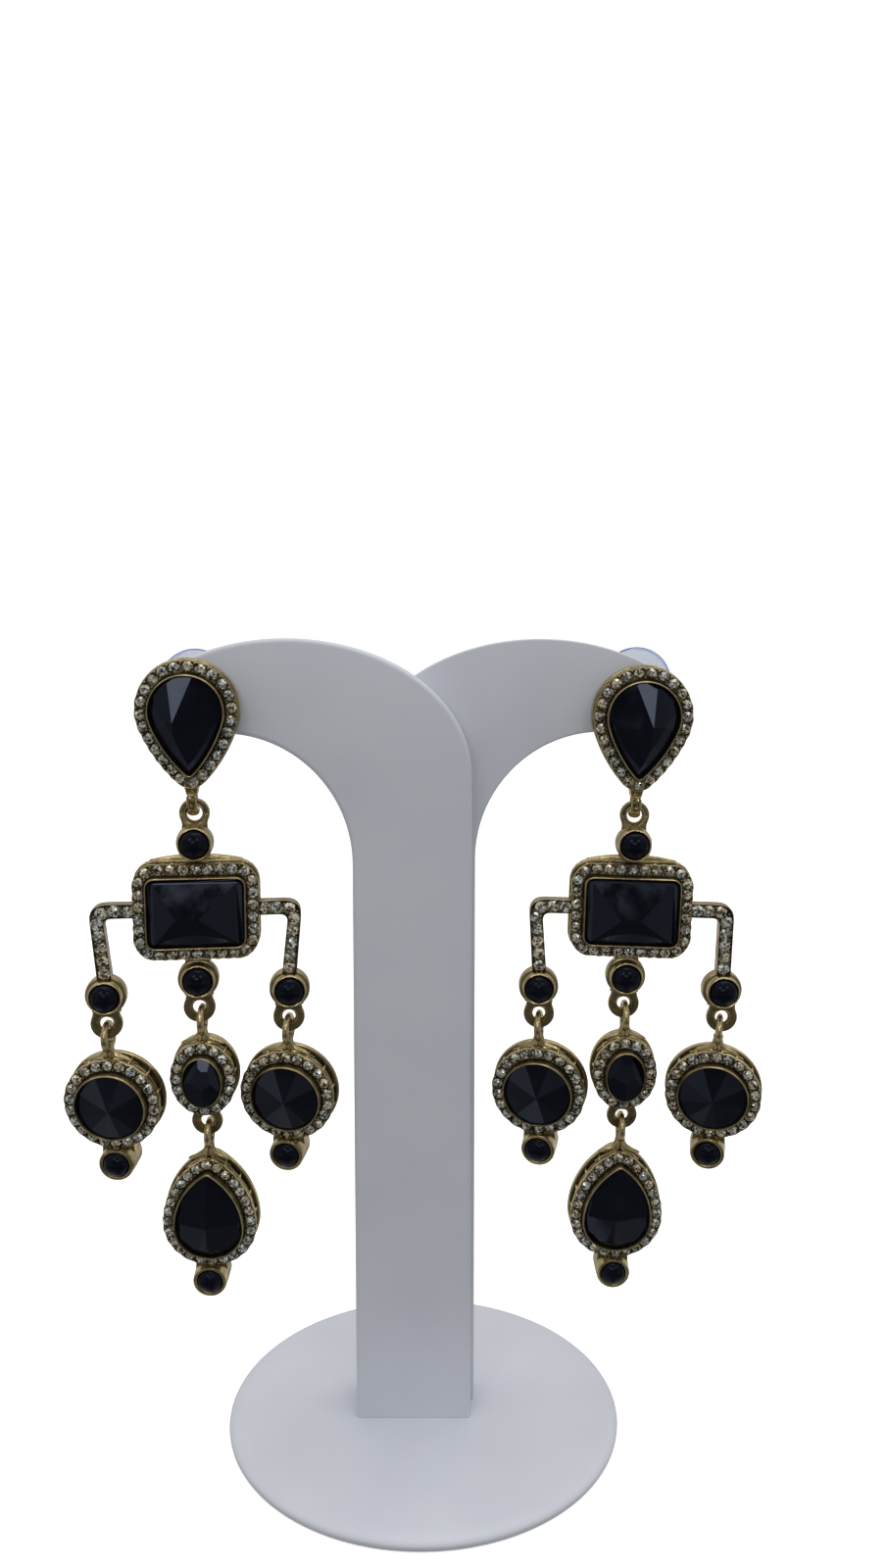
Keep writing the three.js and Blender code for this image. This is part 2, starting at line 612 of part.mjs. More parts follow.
const assembly = new THREE.Group();
const [leftEarring, rightEarring] = EARRINGS;
add(assembly, 'stand_base', foot(), MATERIALS.plastic);
add(assembly, 'stand_left_arm', armPlate(postHole(leftEarring, PLATE.leftMiddle)),
  MATERIALS.plastic, [PLATE.leftMiddle, 0, 0]);
add(assembly, 'stand_right_arm', mirrored(armPlate(postHole(rightEarring, PLATE.rightMiddle))),
  MATERIALS.plastic, [PLATE.rightMiddle, PLATE.thickness, 0]);
EARRINGS.forEach((earring) => addEarring(assembly, earring));

export default assembly;
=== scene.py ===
import json
import math

import bmesh
import bpy
from mathutils import Matrix, Vector


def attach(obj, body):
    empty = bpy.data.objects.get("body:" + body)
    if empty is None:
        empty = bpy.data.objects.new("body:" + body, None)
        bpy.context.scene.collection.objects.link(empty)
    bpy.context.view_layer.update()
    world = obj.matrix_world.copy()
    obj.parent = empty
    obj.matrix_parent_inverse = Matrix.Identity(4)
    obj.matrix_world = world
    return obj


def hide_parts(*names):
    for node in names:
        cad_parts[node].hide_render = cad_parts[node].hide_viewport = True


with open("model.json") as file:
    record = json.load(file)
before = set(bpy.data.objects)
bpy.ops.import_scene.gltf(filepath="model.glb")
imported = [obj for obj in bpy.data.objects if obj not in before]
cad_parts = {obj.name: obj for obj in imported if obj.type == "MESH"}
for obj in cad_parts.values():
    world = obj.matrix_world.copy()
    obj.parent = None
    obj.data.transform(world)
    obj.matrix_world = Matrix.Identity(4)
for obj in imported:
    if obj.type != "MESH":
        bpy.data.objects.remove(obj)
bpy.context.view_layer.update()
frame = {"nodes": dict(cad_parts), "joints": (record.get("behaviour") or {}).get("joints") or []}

# ------------------------------------------------------------------ foot of the stand
# The stand's round foot, injection-moulded in off-white polystyrene. Its skin is satin and its rim
# is rounded. It is drawn lying on its back and laid down flat.

# Sizes are in millimetres, and MM is one of them in metres.
MM = 0.001
FOOT_RADIUS = 29.6
FOOT_HEIGHT = 1.8
FOOT_EDGE = 1.1
FOOT_CAMBER = 2.4
OUTLINE_STEP = 0.35
ROUND_STEP = 0.3
WIDEST_ROW = 1.5
STAND_BODY = "stand_and_studs"


def linear(hex_colour):
    """An sRGB hex colour as linear red, green, blue and alpha."""
    parts = [int(hex_colour[i:i + 2], 16) / 255 for i in (1, 3, 5)]
    return [p / 12.92 if p <= 0.04045 else ((p + 0.055) / 1.055) ** 2.4 for p in parts] + [1]


def add_node(tree, kind, inputs=None, **settings):
    """One node with its settings. Each input goes by its socket's name or number, and takes a value
    or what feeds it: a socket, or a node whose first output in use is meant."""
    node = tree.nodes.new(kind)
    for name, value in settings.items():
        setattr(node, name, value)
    for name, value in (inputs or {}).items():
        if isinstance(name, int):
            socket = node.inputs[name]
        else:
            socket = next(s for s in node.inputs if s.enabled and s.name == name)
        if isinstance(value, bpy.types.Node):
            value = next(s for s in value.outputs if s.enabled)
        if isinstance(value, bpy.types.NodeSocket):
            tree.links.new(value, socket)
        else:
            socket.default_value = value
    return node


def new_material(name):
    """A material with an empty node tree."""
    material = bpy.data.materials.new(name)
    material.use_nodes = True
    tree = material.node_tree
    tree.nodes.clear()
    return material, tree


def patterns(tree, *grains):
    """Random patterns on a piece's own coordinates. Each has its grain in millimetres and how much
    finer detail it holds."""
    place = add_node(tree, "ShaderNodeTexCoord").outputs["Object"]
    made = []
    for grain, detail in grains:
        made.append(add_node(tree, "ShaderNodeTexNoise", {
            "Vector": place, "Scale": 1 / (grain * MM), "Detail": detail,
        }))
    return made


def surfaced(material, tree, look):
    """A material whose tree ends in a surface with this look."""
    surface = add_node(tree, "ShaderNodeBsdfPrincipled", look)
    add_node(tree, "ShaderNodeOutputMaterial", {"Surface": surface})
    return material


def moulded_polystyrene():
    """Satin moulded polystyrene: a cool off-white with faint clouding and a fine eggshell grain.
    The real grain is about 0.1 mm, drawn at 0.6 mm so that it shows."""
    material, tree = new_material("moulded polystyrene")
    clouds, grain = patterns(tree, (14, 3), (0.6, 2))
    colour = add_node(tree, "ShaderNodeMix", {
        "Factor": clouds, "A": linear("#c6c9d3"), "B": linear("#d3d6dd"),
    }, data_type="RGBA")
    rough = add_node(tree, "ShaderNodeMapRange", {
        "Value": clouds, "From Min": 0.3, "From Max": 0.7, "To Min": 0.42, "To Max": 0.52,
    })
    bump = add_node(tree, "ShaderNodeBump", {"Height": grain, "Strength": 0.08, "Distance": 0.05 * MM})
    return surfaced(material, tree, {
        "Base Color": colour, "Roughness": rough, "Normal": bump, "IOR": 1.5, "Specular IOR Level": 0.45,
    })


STAND_PLASTIC = moulded_polystyrene()


def ellipse(x, z, half_width, half_height, start, end, steps):
    """Points along an ellipse in the XZ plane, from one angle in degrees to another."""
    angles = [math.radians(start + (end - start) * i / steps) for i in range(steps + 1)]
    return [(x + half_width * math.cos(a), z + half_height * math.sin(a)) for a in angles]


def arc(x, z, radius, start, end, step=OUTLINE_STEP):
    """Points along an arc, no further apart than step even where a row spreads out from the arc."""
    steps = max(3, math.ceil(abs(math.radians(end - start)) * (radius + WIDEST_ROW) / step))
    return ellipse(x, z, radius, radius, start, end, steps)


def traced(points, stones=0):
    """A closed outline, anticlockwise from the front: each point, its outward direction, and a wave
    that crests at each stone."""
    closed = [p for p, q in zip(points, points[-1:] + points[:-1]) if math.dist(p, q) > 1e-4]
    count = len(closed)
    outline = []
    travelled = [0]
    for i, here in enumerate(closed):
        before, after = Vector(closed[i - 1]), Vector(closed[(i + 1) % count])
        into = (Vector(here) - before).normalized()
        out = (after - Vector(here)).normalized()
        travelled.append(travelled[-1] + math.dist(here, after))
        across = Vector((into.y + out.y, -into.x - out.x)).normalized()
        lean = max(across.dot(Vector((into.y, -into.x))), 0.5)
        outline.append([here[0], here[1], across.x / lean, across.y / lean])
    for entry, travel in zip(outline, travelled):
        entry.append(math.cos(2 * math.pi * stones * travel / travelled[-1]) if stones else 0)
    return outline


def round_outline(radius, step=ROUND_STEP, x=0, z=0):
    """The closed outline of a disc, a hole or a pin."""
    return traced(arc(x, z, radius, 0, 360, step))


def loft(outline, rows, ring=False):
    """A closed shell round an outline. Each row is a spread outwards, a height towards the front,
    how darkened the surface is and, where it has one, its share of the outline's wave."""
    count = len(outline)
    points, dark, faces = [], [], []
    for spread, height, darkness, *wave in rows:
        for x, z, across_x, across_z, crest in outline:
            reach = spread + (wave[0] * crest if wave else 0)
            points.append((x + reach * across_x, -height, z + reach * across_z))
            dark.append(darkness)
    last = len(rows) if ring else len(rows) - 1
    for row in range(last):
        here, there = row * count, (row + 1) % len(rows) * count
        for i in range(count):
            j = (i + 1) % count
            faces.append((here + i, there + i, there + j, here + j))
    if not ring:
        faces.append(tuple(range(count)))
        faces.append(tuple(range(last * count, (last + 1) * count)))
    return points, faces, dark


def shell_mesh(name, parts, material, flat=False, crease=42):
    """A mesh of closed shells in millimetres, each facing outwards, smooth below the crease angle."""
    whole = bmesh.new()
    darkness = whole.verts.layers.float.new("dark")
    for points, faces, dark in parts:
        shell = bmesh.new()
        layer = shell.verts.layers.float.new("dark")
        corners = [shell.verts.new(p) for p in points]
        for corner, value in zip(corners, dark):
            corner[layer] = value
        for face in faces:
            shell.faces.new([corners[i] for i in face])
        bmesh.ops.remove_doubles(shell, verts=shell.verts, dist=1e-5)
        bmesh.ops.dissolve_degenerate(shell, edges=shell.edges, dist=1e-5)
        bmesh.ops.recalc_face_normals(shell, faces=shell.faces)
        shell.verts.index_update()
        copies = []
        for corner in shell.verts:
            copy = whole.verts.new(corner.co)
            copy[darkness] = corner[layer]
            copies.append(copy)
        for face in shell.faces:
            whole.faces.new([copies[v.index] for v in face.verts])
        shell.free()
    whole.normal_update()
    bmesh.ops.triangulate(whole, faces=[f for f in whole.faces if len(f.verts) > 4])
    mesh = bpy.data.meshes.new(name)
    whole.to_mesh(mesh)
    whole.free()
    mesh.materials.append(material)
    if not flat:
        mesh.shade_smooth()
        mesh.set_sharp_from_angle(angle=math.radians(crease))
    return mesh


def new_object(name, data):
    """An object in the scene, for a mesh, a light or a camera."""
    thing = bpy.data.objects.new(name, data)
    bpy.context.scene.collection.objects.link(thing)
    return thing


def joined(name, meshes, place):
    """One object from several meshes in millimetres, with its place put into its vertices."""
    for mesh in meshes:
        mesh.transform(place)
    pieces = [new_object(name, mesh) for mesh in meshes]
    if len(pieces) > 1:
        with bpy.context.temp_override(active_object=pieces[0], object=pieces[0],
                                       selected_objects=pieces, selected_editable_objects=pieces):
            bpy.ops.object.join()
    pieces[0].data.name = name
    return pieces[0]


def fit(piece, body, slot, *nodes):
    """Hangs a piece on its body, and lets it stand for its nodes. Its slot is not used."""
    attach(piece, body)
    if nodes:
        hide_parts(*nodes)


def finish_piece(name, meshes, place, body, slot, *nodes):
    """Joins a piece from its meshes, puts it in its place and fits it."""
    fit(joined(name, meshes, place), body, slot, *nodes)


FROM_MILLIMETRES = Matrix.Scale(MM, 4)
LAID_FLAT = FROM_MILLIMETRES @ Matrix.Rotation(-math.pi / 2, 4, "X")
foot_rows = [(-6, FOOT_HEIGHT, 0)]
for turn in range(0, 91, 10):
    tilt = math.radians(turn)
    foot_rows.append((FOOT_CAMBER * (math.sin(tilt) - 1), FOOT_HEIGHT - FOOT_EDGE * (1 - math.cos(tilt)), 0))
foot_rows += [(-0.04, 0.4, 0), (-0.18, 0.14, 0), (-0.45, 0, 0), (-2.2, 0, 0), (-2.6, 0.35, 0)]
foot_shell = loft(round_outline(FOOT_RADIUS, step=1.2), foot_rows)
finish_piece("stand_foot", [shell_mesh("foot", [foot_shell], STAND_PLASTIC)], LAID_FLAT,
             STAND_BODY, "stand_plastic", "stand_base")

# ------------------------------------------------------------------ arms of the stand
# Two flat J-shaped plates of the same moulded polystyrene, set back to back in the foot, with the
# seam between them down the side of the post. All their edges are rounded, and each tip is drilled
# for an ear post.

PLATE_THICKNESS = 4.6
POST_HALF_WIDTH = 8.6
PLATE_MIDDLE = {"left": -1.5, "right": -0.9}
BEND_STEPS = 40
POST_SUNK = 0.4
PLATE_EDGE = 0.7
SEAM_EDGE = 0.3
POST_HOLE = 1.1


def bezier(a, b, c, d, steps=14):
    """The points of a Bezier curve between its two ends."""
    points = []
    for i in range(1, steps):
        t = i / steps
        points.append(tuple((1 - t) ** 3 * p + 3 * (1 - t) ** 2 * t * q + 3 * (1 - t) * t * t * r + t ** 3 * s
                            for p, q, r, s in zip(a, b, c, d)))
    return points


def plate_points():
    """The left arm's outline about the middle of its own post, anticlockwise from the front: an
    ellipse over the bend, one under it, and a rounded tip whose curves leave the ellipses."""
    tip_start, tip_end, tip_z, tip_lead = -30, -35.8, 110.8, 3.2
    over_x, over_half_width = -17.9, 26.5
    over_end = math.degrees(math.acos((tip_start - over_x) / over_half_width))
    over = ellipse(over_x, 99.3, over_half_width, 19.3, 0, over_end, BEND_STEPS)
    under_x, under_half_width = -27, 18.4
    under_start = math.degrees(math.acos((tip_start - under_x) / under_half_width))
    under = ellipse(under_x, 86.3, under_half_width, 18.8, under_start, 0, BEND_STEPS)
    top, low = over[-1], under[0]
    tip = (tip_end, tip_z)
    down = bezier(top, (tip_start - tip_lead, top[1] - 0.37 * tip_lead), (tip_end, tip_z + tip_lead), tip)
    back = bezier(tip, (tip_end, tip_z - tip_lead), (tip_start - tip_lead, low[1]), low)
    foot_z = FOOT_HEIGHT - POST_SUNK
    return [(-POST_HALF_WIDTH, foot_z), (POST_HALF_WIDTH, foot_z)] + over + down + [tip] + back + under


def rounded_edge(radius, front, turn_steps=5):
    """Rows that round a plate's edge at its front face, from the face to the side."""
    turns = [math.pi / 2 * i / turn_steps for i in range(turn_steps + 1)]
    return [(radius * (math.sin(t) - 1), front - radius * (1 - math.cos(t)), 0) for t in turns]


def arm_plate(name, points, front_edge, back_edge):
    """A flat plate with its front and back edges rounded."""
    rows = rounded_edge(front_edge, PLATE_THICKNESS)
    for spread, height, dark in reversed(rounded_edge(back_edge, PLATE_THICKNESS)):
        rows.append((spread, PLATE_THICKNESS - height, dark))
    return shell_mesh(name, [loft(traced(points), rows)], STAND_PLASTIC)


def evaluated(piece):
    """A plain mesh of a piece as its modifiers make it."""
    view = bpy.context.evaluated_depsgraph_get()
    return bpy.data.meshes.new_from_object(piece.evaluated_get(view), depsgraph=view)


def drill(piece, x, z, radius):
    """Cuts a round hole for an ear post through a plate, from front to back."""
    pin_shell = loft(round_outline(radius, x=x, z=z), [(0, -20, 0), (0, 20, 0)])
    pin = joined("pin", [shell_mesh("pin", [pin_shell], STAND_PLASTIC)], FROM_MILLIMETRES)
    cut = piece.modifiers.new("hole", "BOOLEAN")
    cut.object = pin
    cut.operation = "DIFFERENCE"
    cut.solver = "EXACT"
    drilled = evaluated(piece)
    piece.modifiers.clear()
    piece.data = drilled
    bpy.data.objects.remove(pin)


def vertices_of(node):
    """A node's vertices in metres, each place once."""
    seen = {tuple(round(c, 7) for c in v.co): v.co for v in frame["nodes"][node].data.vertices}
    return list(seen.values())


def back_face(node):
    """The middle and the direction of a stone's flat back, its largest flat area."""
    flats = []
    for face in frame["nodes"][node].data.polygons:
        for flat in flats:
            if flat[0].dot(face.normal) > 0.9999:
                flat[1] += face.area
                flat[2] += face.area * face.center
                break
        else:
            flats.append([face.normal.copy(), face.area, face.area * face.center])
    direction, area, sum_of_middles = max(flats, key=lambda flat: flat[1])
    return sum_of_middles / area, direction.normalized()


def set_at(origin, backwards, upwards):
    """A casting's place: millimetres along its own right, back and up directions from its origin."""
    up = (upwards - upwards.dot(backwards) * backwards).normalized()
    right = backwards.cross(up)
    turn = Matrix((right, backwards, up)).transposed().to_4x4()
    return Matrix.Translation(origin) @ turn @ FROM_MILLIMETRES


STONE_BACK = 1.4
STUD_POINT = 8.8
POINT_GAP = 0.1
STUD_POST = {"left": (0.3, 2.3), "right": (0, 3.6)}
SIDES = ("left", "right")


def stud_place(side):
    """A stud's place: its origin is the middle of its round end, in the plane of its back."""
    node = f"{side}_stud_stone"
    middle, backwards = back_face(node)
    tip = max(vertices_of(node), key=lambda v: (v - middle).length)
    tip = tip - (tip - middle).dot(backwards) * backwards
    up = (middle - tip).normalized()
    return set_at(tip + up * (STUD_POINT - POINT_GAP) * MM + backwards * STONE_BACK * MM, backwards, up)


STUD_PLACE = {side: stud_place(side) for side in SIDES}
for side in SIDES:
    left = side == "left"
    middle_x = PLATE_MIDDLE[side]
    points = [(middle_x + x, z) for x, z in plate_points()]
    if not left:
        points = [(2 * middle_x - x, z) for x, z in reversed(points)]
    edges = (PLATE_EDGE, SEAM_EDGE) if left else (SEAM_EDGE, PLATE_EDGE)
    back_y = 0 if left else PLATE_THICKNESS
    plate = joined(f"stand_{side}_plate", [arm_plate("plate", points, *edges)],
                   Matrix.Translation((0, back_y * MM, 0)) @ FROM_MILLIMETRES)
    post_x, post_z = STUD_POST[side]
    start = STUD_PLACE[side] @ Vector((post_x, 0, post_z))
    along = STUD_PLACE[side].to_3x3() @ Vector((0, 1, 0)) / MM
    plate_middle = (back_y - PLATE_THICKNESS / 2) * MM
    crossing = start + along * (plate_middle - start.y) / along.y
    drill(plate, crossing.x / MM, crossing.z / MM, POST_HOLE)
    plate.data.shade_smooth()
    plate.data.set_sharp_from_angle(angle=math.radians(35))
    fit(plate, STAND_BODY, "stand_plastic", f"stand_{side}_arm")

# ------------------------------------------------------------------ studs
# Each earring's stud is a pear-shaped casting in zinc alloy plated antique gold: a thin polished
# bezel, a band drilled for rhinestones, an open gallery behind it, and a back rim. A soldered steel
# post goes through the stand, and a slotted strap under the point carries the main casting.


def antique_gold():
    """Antique-gold plating on cast zinc: muted, slightly olive brass, worn pale and bright on edges, over
    a faintly uneven cast surface. Its dark attribute darkens it towards black-brown as antique patina
    and painted shade together: most in the recesses and between parts, less on flat faces, none on
    the edges. Random tarnish patches darken some places and lighten others a little."""
    material, tree = new_material("antique gold plating")
    patches, pits = patterns(tree, (1.6, 4), (0.5, 3))
    # The dark attribute: antique patina and painted shade together, set on the castings row by row.
    recess = add_node(tree, "ShaderNodeAttribute", attribute_name="dark")
    patchy = add_node(tree, "ShaderNodeMapRange", {
        "Value": patches, "From Min": 0.35, "From Max": 0.7, "To Min": -0.1, "To Max": 0.3,
    })
    tarnish_and_painted_shade = add_node(tree, "ShaderNodeMath", {0: recess.outputs["Fac"], 1: patchy},
                       operation="ADD", use_clamp=True)
    colour = add_node(tree, "ShaderNodeMix", {
        "Factor": tarnish_and_painted_shade, "A": linear("#b9a87c"), "B": linear("#342c1c"),
    }, data_type="RGBA")
    rough = add_node(tree, "ShaderNodeMapRange", {"Value": tarnish_and_painted_shade, "To Min": 0.2, "To Max": 0.5})
    bump = add_node(tree, "ShaderNodeBump", {"Height": pits, "Strength": 0.5, "Distance": 0.07 * MM})
    return surfaced(material, tree, {
        "Base Color": colour, "Roughness": rough, "Normal": bump, "Metallic": 1,
    })


def black_glass(name, gloss, smoothest, dullest):
    """Black glass: nearly black with a blue cast, and a few finger smudges that only show in the
    gloss. Cut stones are polished like mirrors and cabochons are left with a softer skin."""
    material, tree = new_material(name)
    [smudges] = patterns(tree, (3, 5))
    rough = add_node(tree, "ShaderNodeMapRange", {
        "Value": smudges, "From Min": 0.4, "From Max": 0.75, "To Min": smoothest, "To Max": dullest,
    })
    colour = add_node(tree, "ShaderNodeMix", {
        "Factor": smudges, "A": linear("#08090f"), "B": linear("#11131d"),
    }, data_type="RGBA")
    return surfaced(material, tree, {
        "Base Color": colour, "Roughness": rough,
        "IOR": 1.52, "Specular IOR Level": gloss, "Specular Tint": linear("#c4ceec"),
    })


def set_stops(ramp, stops):
    """Gives a colour ramp, which starts with two stops, all its stops: where each one lies, and its
    linear colour."""
    for number, (position, colour) in enumerate(stops):
        if number > 1:
            ramp.elements.new(position)
        ramp.elements[number].position = position
        ramp.elements[number].color = colour


# Painted flashes for the rhinestones' facets, from painted shade through greys to a painted white glint.
PAINTED_FLASHES = ((0, "#26241e"), (0.2, "#66635a"), (0.4, "#a09d93"), (0.62, "#d4d2ca"), (0.82, "#ffffff"))


def foiled_rhinestone():
    """Foil-backed clear glass chatons. Each facet's colour is a painted flash of its own: painted
    shade, grey or a white painted glint. Each stone is a touch warmer or cooler than the next."""
    material, tree = new_material("foil-backed rhinestone")
    # Each facet's painted sparkle picks a painted flash from the ramp below: painted shade, grey or a painted
    # glint.
    painted_flash = add_node(tree, "ShaderNodeAttribute", attribute_name="sparkle")
    tint = add_node(tree, "ShaderNodeAttribute", attribute_name="tone")
    shade = add_node(tree, "ShaderNodeValToRGB", {"Fac": painted_flash.outputs["Fac"]})
    shade.color_ramp.interpolation = "CONSTANT"
    set_stops(shade.color_ramp, [(position, linear(colour)) for position, colour in PAINTED_FLASHES])
    cast_colour = add_node(tree, "ShaderNodeMix", {
        "Factor": tint.outputs["Fac"], "A": linear("#f3e4c6"), "B": linear("#e6eeec"),
    }, data_type="RGBA")
    colour = add_node(tree, "ShaderNodeMix", {
        "Factor": 1, "A": shade, "B": cast_colour,
    }, data_type="RGBA", blend_type="MULTIPLY")
    return surfaced(material, tree, {
        "Base Color": colour, "Metallic": 0.2, "Roughness": 0.1, "IOR": 1.6,
        "Coat Weight": 1, "Coat Roughness": 0.03,
    })


GOLD = antique_gold()
BLACK_GLASS = black_glass("pressed black glass", gloss=0.5, smoothest=0.04, dullest=0.2)
CABOCHON_GLASS = black_glass("moulded black glass", gloss=0.14, smoothest=0.12, dullest=0.26)
RHINESTONE = foiled_rhinestone()

BEZEL_WALL = 0.35
BEZEL_TOP = 3.4
BAND_WIDTH = 1.8
BAND_MIDDLE = BEZEL_WALL + BAND_WIDTH / 2
BAND_EDGE = BEZEL_WALL + BAND_WIDTH
RIM_EDGE = BAND_EDGE + 0.15
BAND_UNDERSIDE = 1.6
RIM_HEIGHT = 0.85
SEAT_FLOOR = 1.3
STONE_PITCH = 1.75
RHINESTONE_SIZE = 1.58
STONE_LEVEL = 2.16
RHINESTONE_TILT = 0.16
BEAD_SIZE = 0.38
BEAD_ASIDE = 0.58
# The beads between the stones are darkened with patina and painted shade.
BEAD_DARKNESS = 0.4
GALLERY_POST_PITCH = 2.9
GALLERY_POST_SIZE = 0.42


def length_round(points):
    """How long a closed line is."""
    return sum(math.dist(p, q) for p, q in zip(points, points[1:] + points[:1]))


def filled(points):
    """The same closed line, with points added along its long straight stretches."""
    full = []
    for (x, z), (next_x, next_z) in zip(points, points[1:] + points[:1]):
        parts = max(1, math.ceil(math.dist((x, z), (next_x, next_z)) / OUTLINE_STEP))
        full += [(x + (next_x - x) * i / parts, z + (next_z - z) * i / parts) for i in range(parts)]
    return full


def pear_points(lobe, point, tip, waist, up=False):
    """A pear about the middle of its round end, from its point round: a small tip, two long side
    arcs and the lobe."""
    tip_z, narrowing = point - tip, lobe - tip
    lean = math.sin(math.radians(waist))
    reach = (tip_z ** 2 - narrowing ** 2) / (2 * (narrowing - lean * tip_z))
    x, z = reach * math.cos(math.radians(waist)), reach * lean
    turn = math.degrees(math.atan2(tip_z + z, x))
    points = arc(0, -tip_z, tip, 270, 360 - turn) + arc(-x, z, lobe + reach, -turn, -waist)
    points += arc(0, 0, lobe, -waist, 180 + waist) + arc(x, z, lobe + reach, 180 + waist, 180 + turn)
    points += arc(0, -tip_z, tip, 180 + turn, 270)
    return [(-x, -z) for x, z in points] if up else points


def stone_count(points):
    """How many rhinestones go round a band, from the length of the band's middle line."""
    middle_line = [(x + BAND_MIDDLE * nx, z + BAND_MIDDLE * nz) for x, z, nx, nz, _ in traced(points)]
    return round(length_round(middle_line) / STONE_PITCH)


def setting(points, back):
    """One cast setting: a bezel round the stone's seat, a drilled band with an edge that swells at
    each stone, a gallery groove with a thin rail in it, and a back rim round a sunk back panel."""
    top, edge, under, rim = BEZEL_TOP, BAND_EDGE, BAND_UNDERSIDE, RIM_EDGE
    rim_top = back + RIM_HEIGHT
    rail = (rim_top + under) / 2 + 0.15
    # The third number in each row darkens the metal with antique patina and painted shade: most in the seat,
    # the band between the stones and the gallery groove, none on the crests of the bezel, the band's edge and
    # the rim.
    bezel = [
        (0, SEAT_FLOOR, 1), (0, top - 0.3, 0.85), (0.07, top - 0.12, 0.7), (0.13, top - 0.02, 0.35),
        (0.21, top, 0.15), (0.29, top - 0.08, 0.3), (BEZEL_WALL, top - 0.3, 0.55),
    ]
    band = [
        (BEZEL_WALL + 0.03, 2.45, 0.8), (BEZEL_WALL + 0.12, 2.22, 0.95), (BAND_MIDDLE, 2.0, 0.85),
        (edge - 0.26, 1.98, 0.8, 0.04), (edge - 0.18, 2.14, 0.25, 0.05), (edge - 0.07, 2.16, 0, 0.05),
        (edge - 0.01, 2.06, 0, 0.05), (edge, 1.9, 0.05, 0.05), (edge - 0.02, under + 0.06, 0.4, 0.05),
        (edge - 0.12, under, 0.7, 0.03), (edge - 0.4, under - 0.05, 0.8),
    ]
    gallery_rail = [
        (edge - 0.48, rail + 0.2, 0.85), (edge - 0.36, rail + 0.13, 0.5), (edge - 0.24, rail + 0.05, 0.1),
        (edge - 0.24, rail - 0.07, 0.1), (edge - 0.38, rail - 0.15, 0.6), (edge - 0.48, rim_top + 0.15, 0.9),
        (edge - 0.4, rim_top + 0.01, 0.8),
    ]
    back_rim = [
        (rim - 0.2, rim_top, 0.4), (rim - 0.06, rim_top - 0.05, 0), (rim, rim_top - 0.18, 0),
        (rim, back + 0.16, 0.1), (rim - 0.05, back + 0.04, 0.05), (rim - 0.16, back, 0.1),
        (rim - 0.75, back, 0.15), (rim - 0.85, back + 0.12, 0.55), (rim - 0.95, back + 0.15, 0.5),
        (rim - 1.5, back + 0.16, 0.3),
    ]
    outline = traced(filled(points), stone_count(points))
    return loft(outline, bezel + band + gallery_rail + back_rim)


def tube(path, sizes, across, closed=False, sides=10):
    """A wire or strap swept along points. Sizes are half its width along across and half its
    thickness, one pair for all points or one for each."""
    across = Vector(across)
    path = [Vector(p) for p in path]
    count = len(path)
    pairs = sizes if isinstance(sizes, list) else [sizes] * count
    points, faces = [], []
    for i, here in enumerate(path):
        before = path[i - 1] if closed or i else here
        after = path[(i + 1) % count] if closed or i + 1 < count else here
        out = (after - before).normalized().cross(across).normalized()
        width, thickness = pairs[i]
        for k in range(sides):
            turn = 2 * math.pi * k / sides
            points.append(here + across * width * math.cos(turn) + out * thickness * math.sin(turn))
    for i in range(count if closed else count - 1):
        here, there = i * sides, (i + 1) % count * sides
        for k in range(sides):
            faces.append((here + k, here + (k + 1) % sides, there + (k + 1) % sides, there + k))
    if not closed:
        faces.append(tuple(range(sides)))
        faces.append(tuple(range((count - 1) * sides, count * sides)))
    return points, faces, [0] * len(points)


def moved(part, x, y, z=0):
    """A shell moved to the right, back and up."""
    points, faces, dark = part
    return [(p[0] + x, p[1] + y, p[2] + z) for p in points], faces, dark


def slab(points, front, back, dark, edge=0.12):
    """A plate between two heights, its edges broken."""
    return loft(traced(points), [
        (-edge, front, dark), (-edge * 0.3, front - edge * 0.3, 0), (0, front - edge, 0),
        (0, back + edge, dark), (-edge, back, dark),
    ])


CHATON_SIDES = 8


def chaton():
    """A brilliant-cut stone one unit across, facing the front: table, star facets, kites and girdle.
    The table is a fan, one part for each pavilion facet, and each part takes its own painted flash as that
    facet's reflection."""
    def ring(count, radius, height, offset):
        turns = [2 * math.pi * (k + offset) / count for k in range(count)]
        return [(radius * math.cos(t), -height, radius * math.sin(t)) for t in turns]
    table_height = 0.23
    table = ring(CHATON_SIDES, 0.27, table_height, 0)
    stars = ring(CHATON_SIDES, 0.39, 0.15, 0.5)
    girdle = ring(2 * CHATON_SIDES, 0.5, 0, 0)
    foot_ring = ring(2 * CHATON_SIDES, 0.46, -0.12, 0)
    mesh = bpy.data.meshes.new("chaton")
    whole = bmesh.new()
    t, s, g, f = ([whole.verts.new(p) for p in points] for points in (table, stars, girdle, foot_ring))
    middle = whole.verts.new((0, -table_height, 0))
    whole.faces.new(f)
    for k in range(CHATON_SIDES):
        after = (k + 1) % CHATON_SIDES
        whole.faces.new((middle, t[k], t[after]))
        whole.faces.new((t[k], t[after], s[k]))
        whole.faces.new((t[k], s[k - 1], g[2 * k], s[k]))
        whole.faces.new((s[k], g[2 * k], g[2 * k + 1]))
        whole.faces.new((s[k], g[2 * k + 1], g[2 * after]))
    for k in range(2 * CHATON_SIDES):
        after = (k + 1) % (2 * CHATON_SIDES)
        whole.faces.new((g[k], g[after], f[after], f[k]))
    bmesh.ops.recalc_face_normals(whole, faces=whole.faces)
    whole.to_mesh(mesh)
    whole.free()
    return new_object("chaton", mesh)


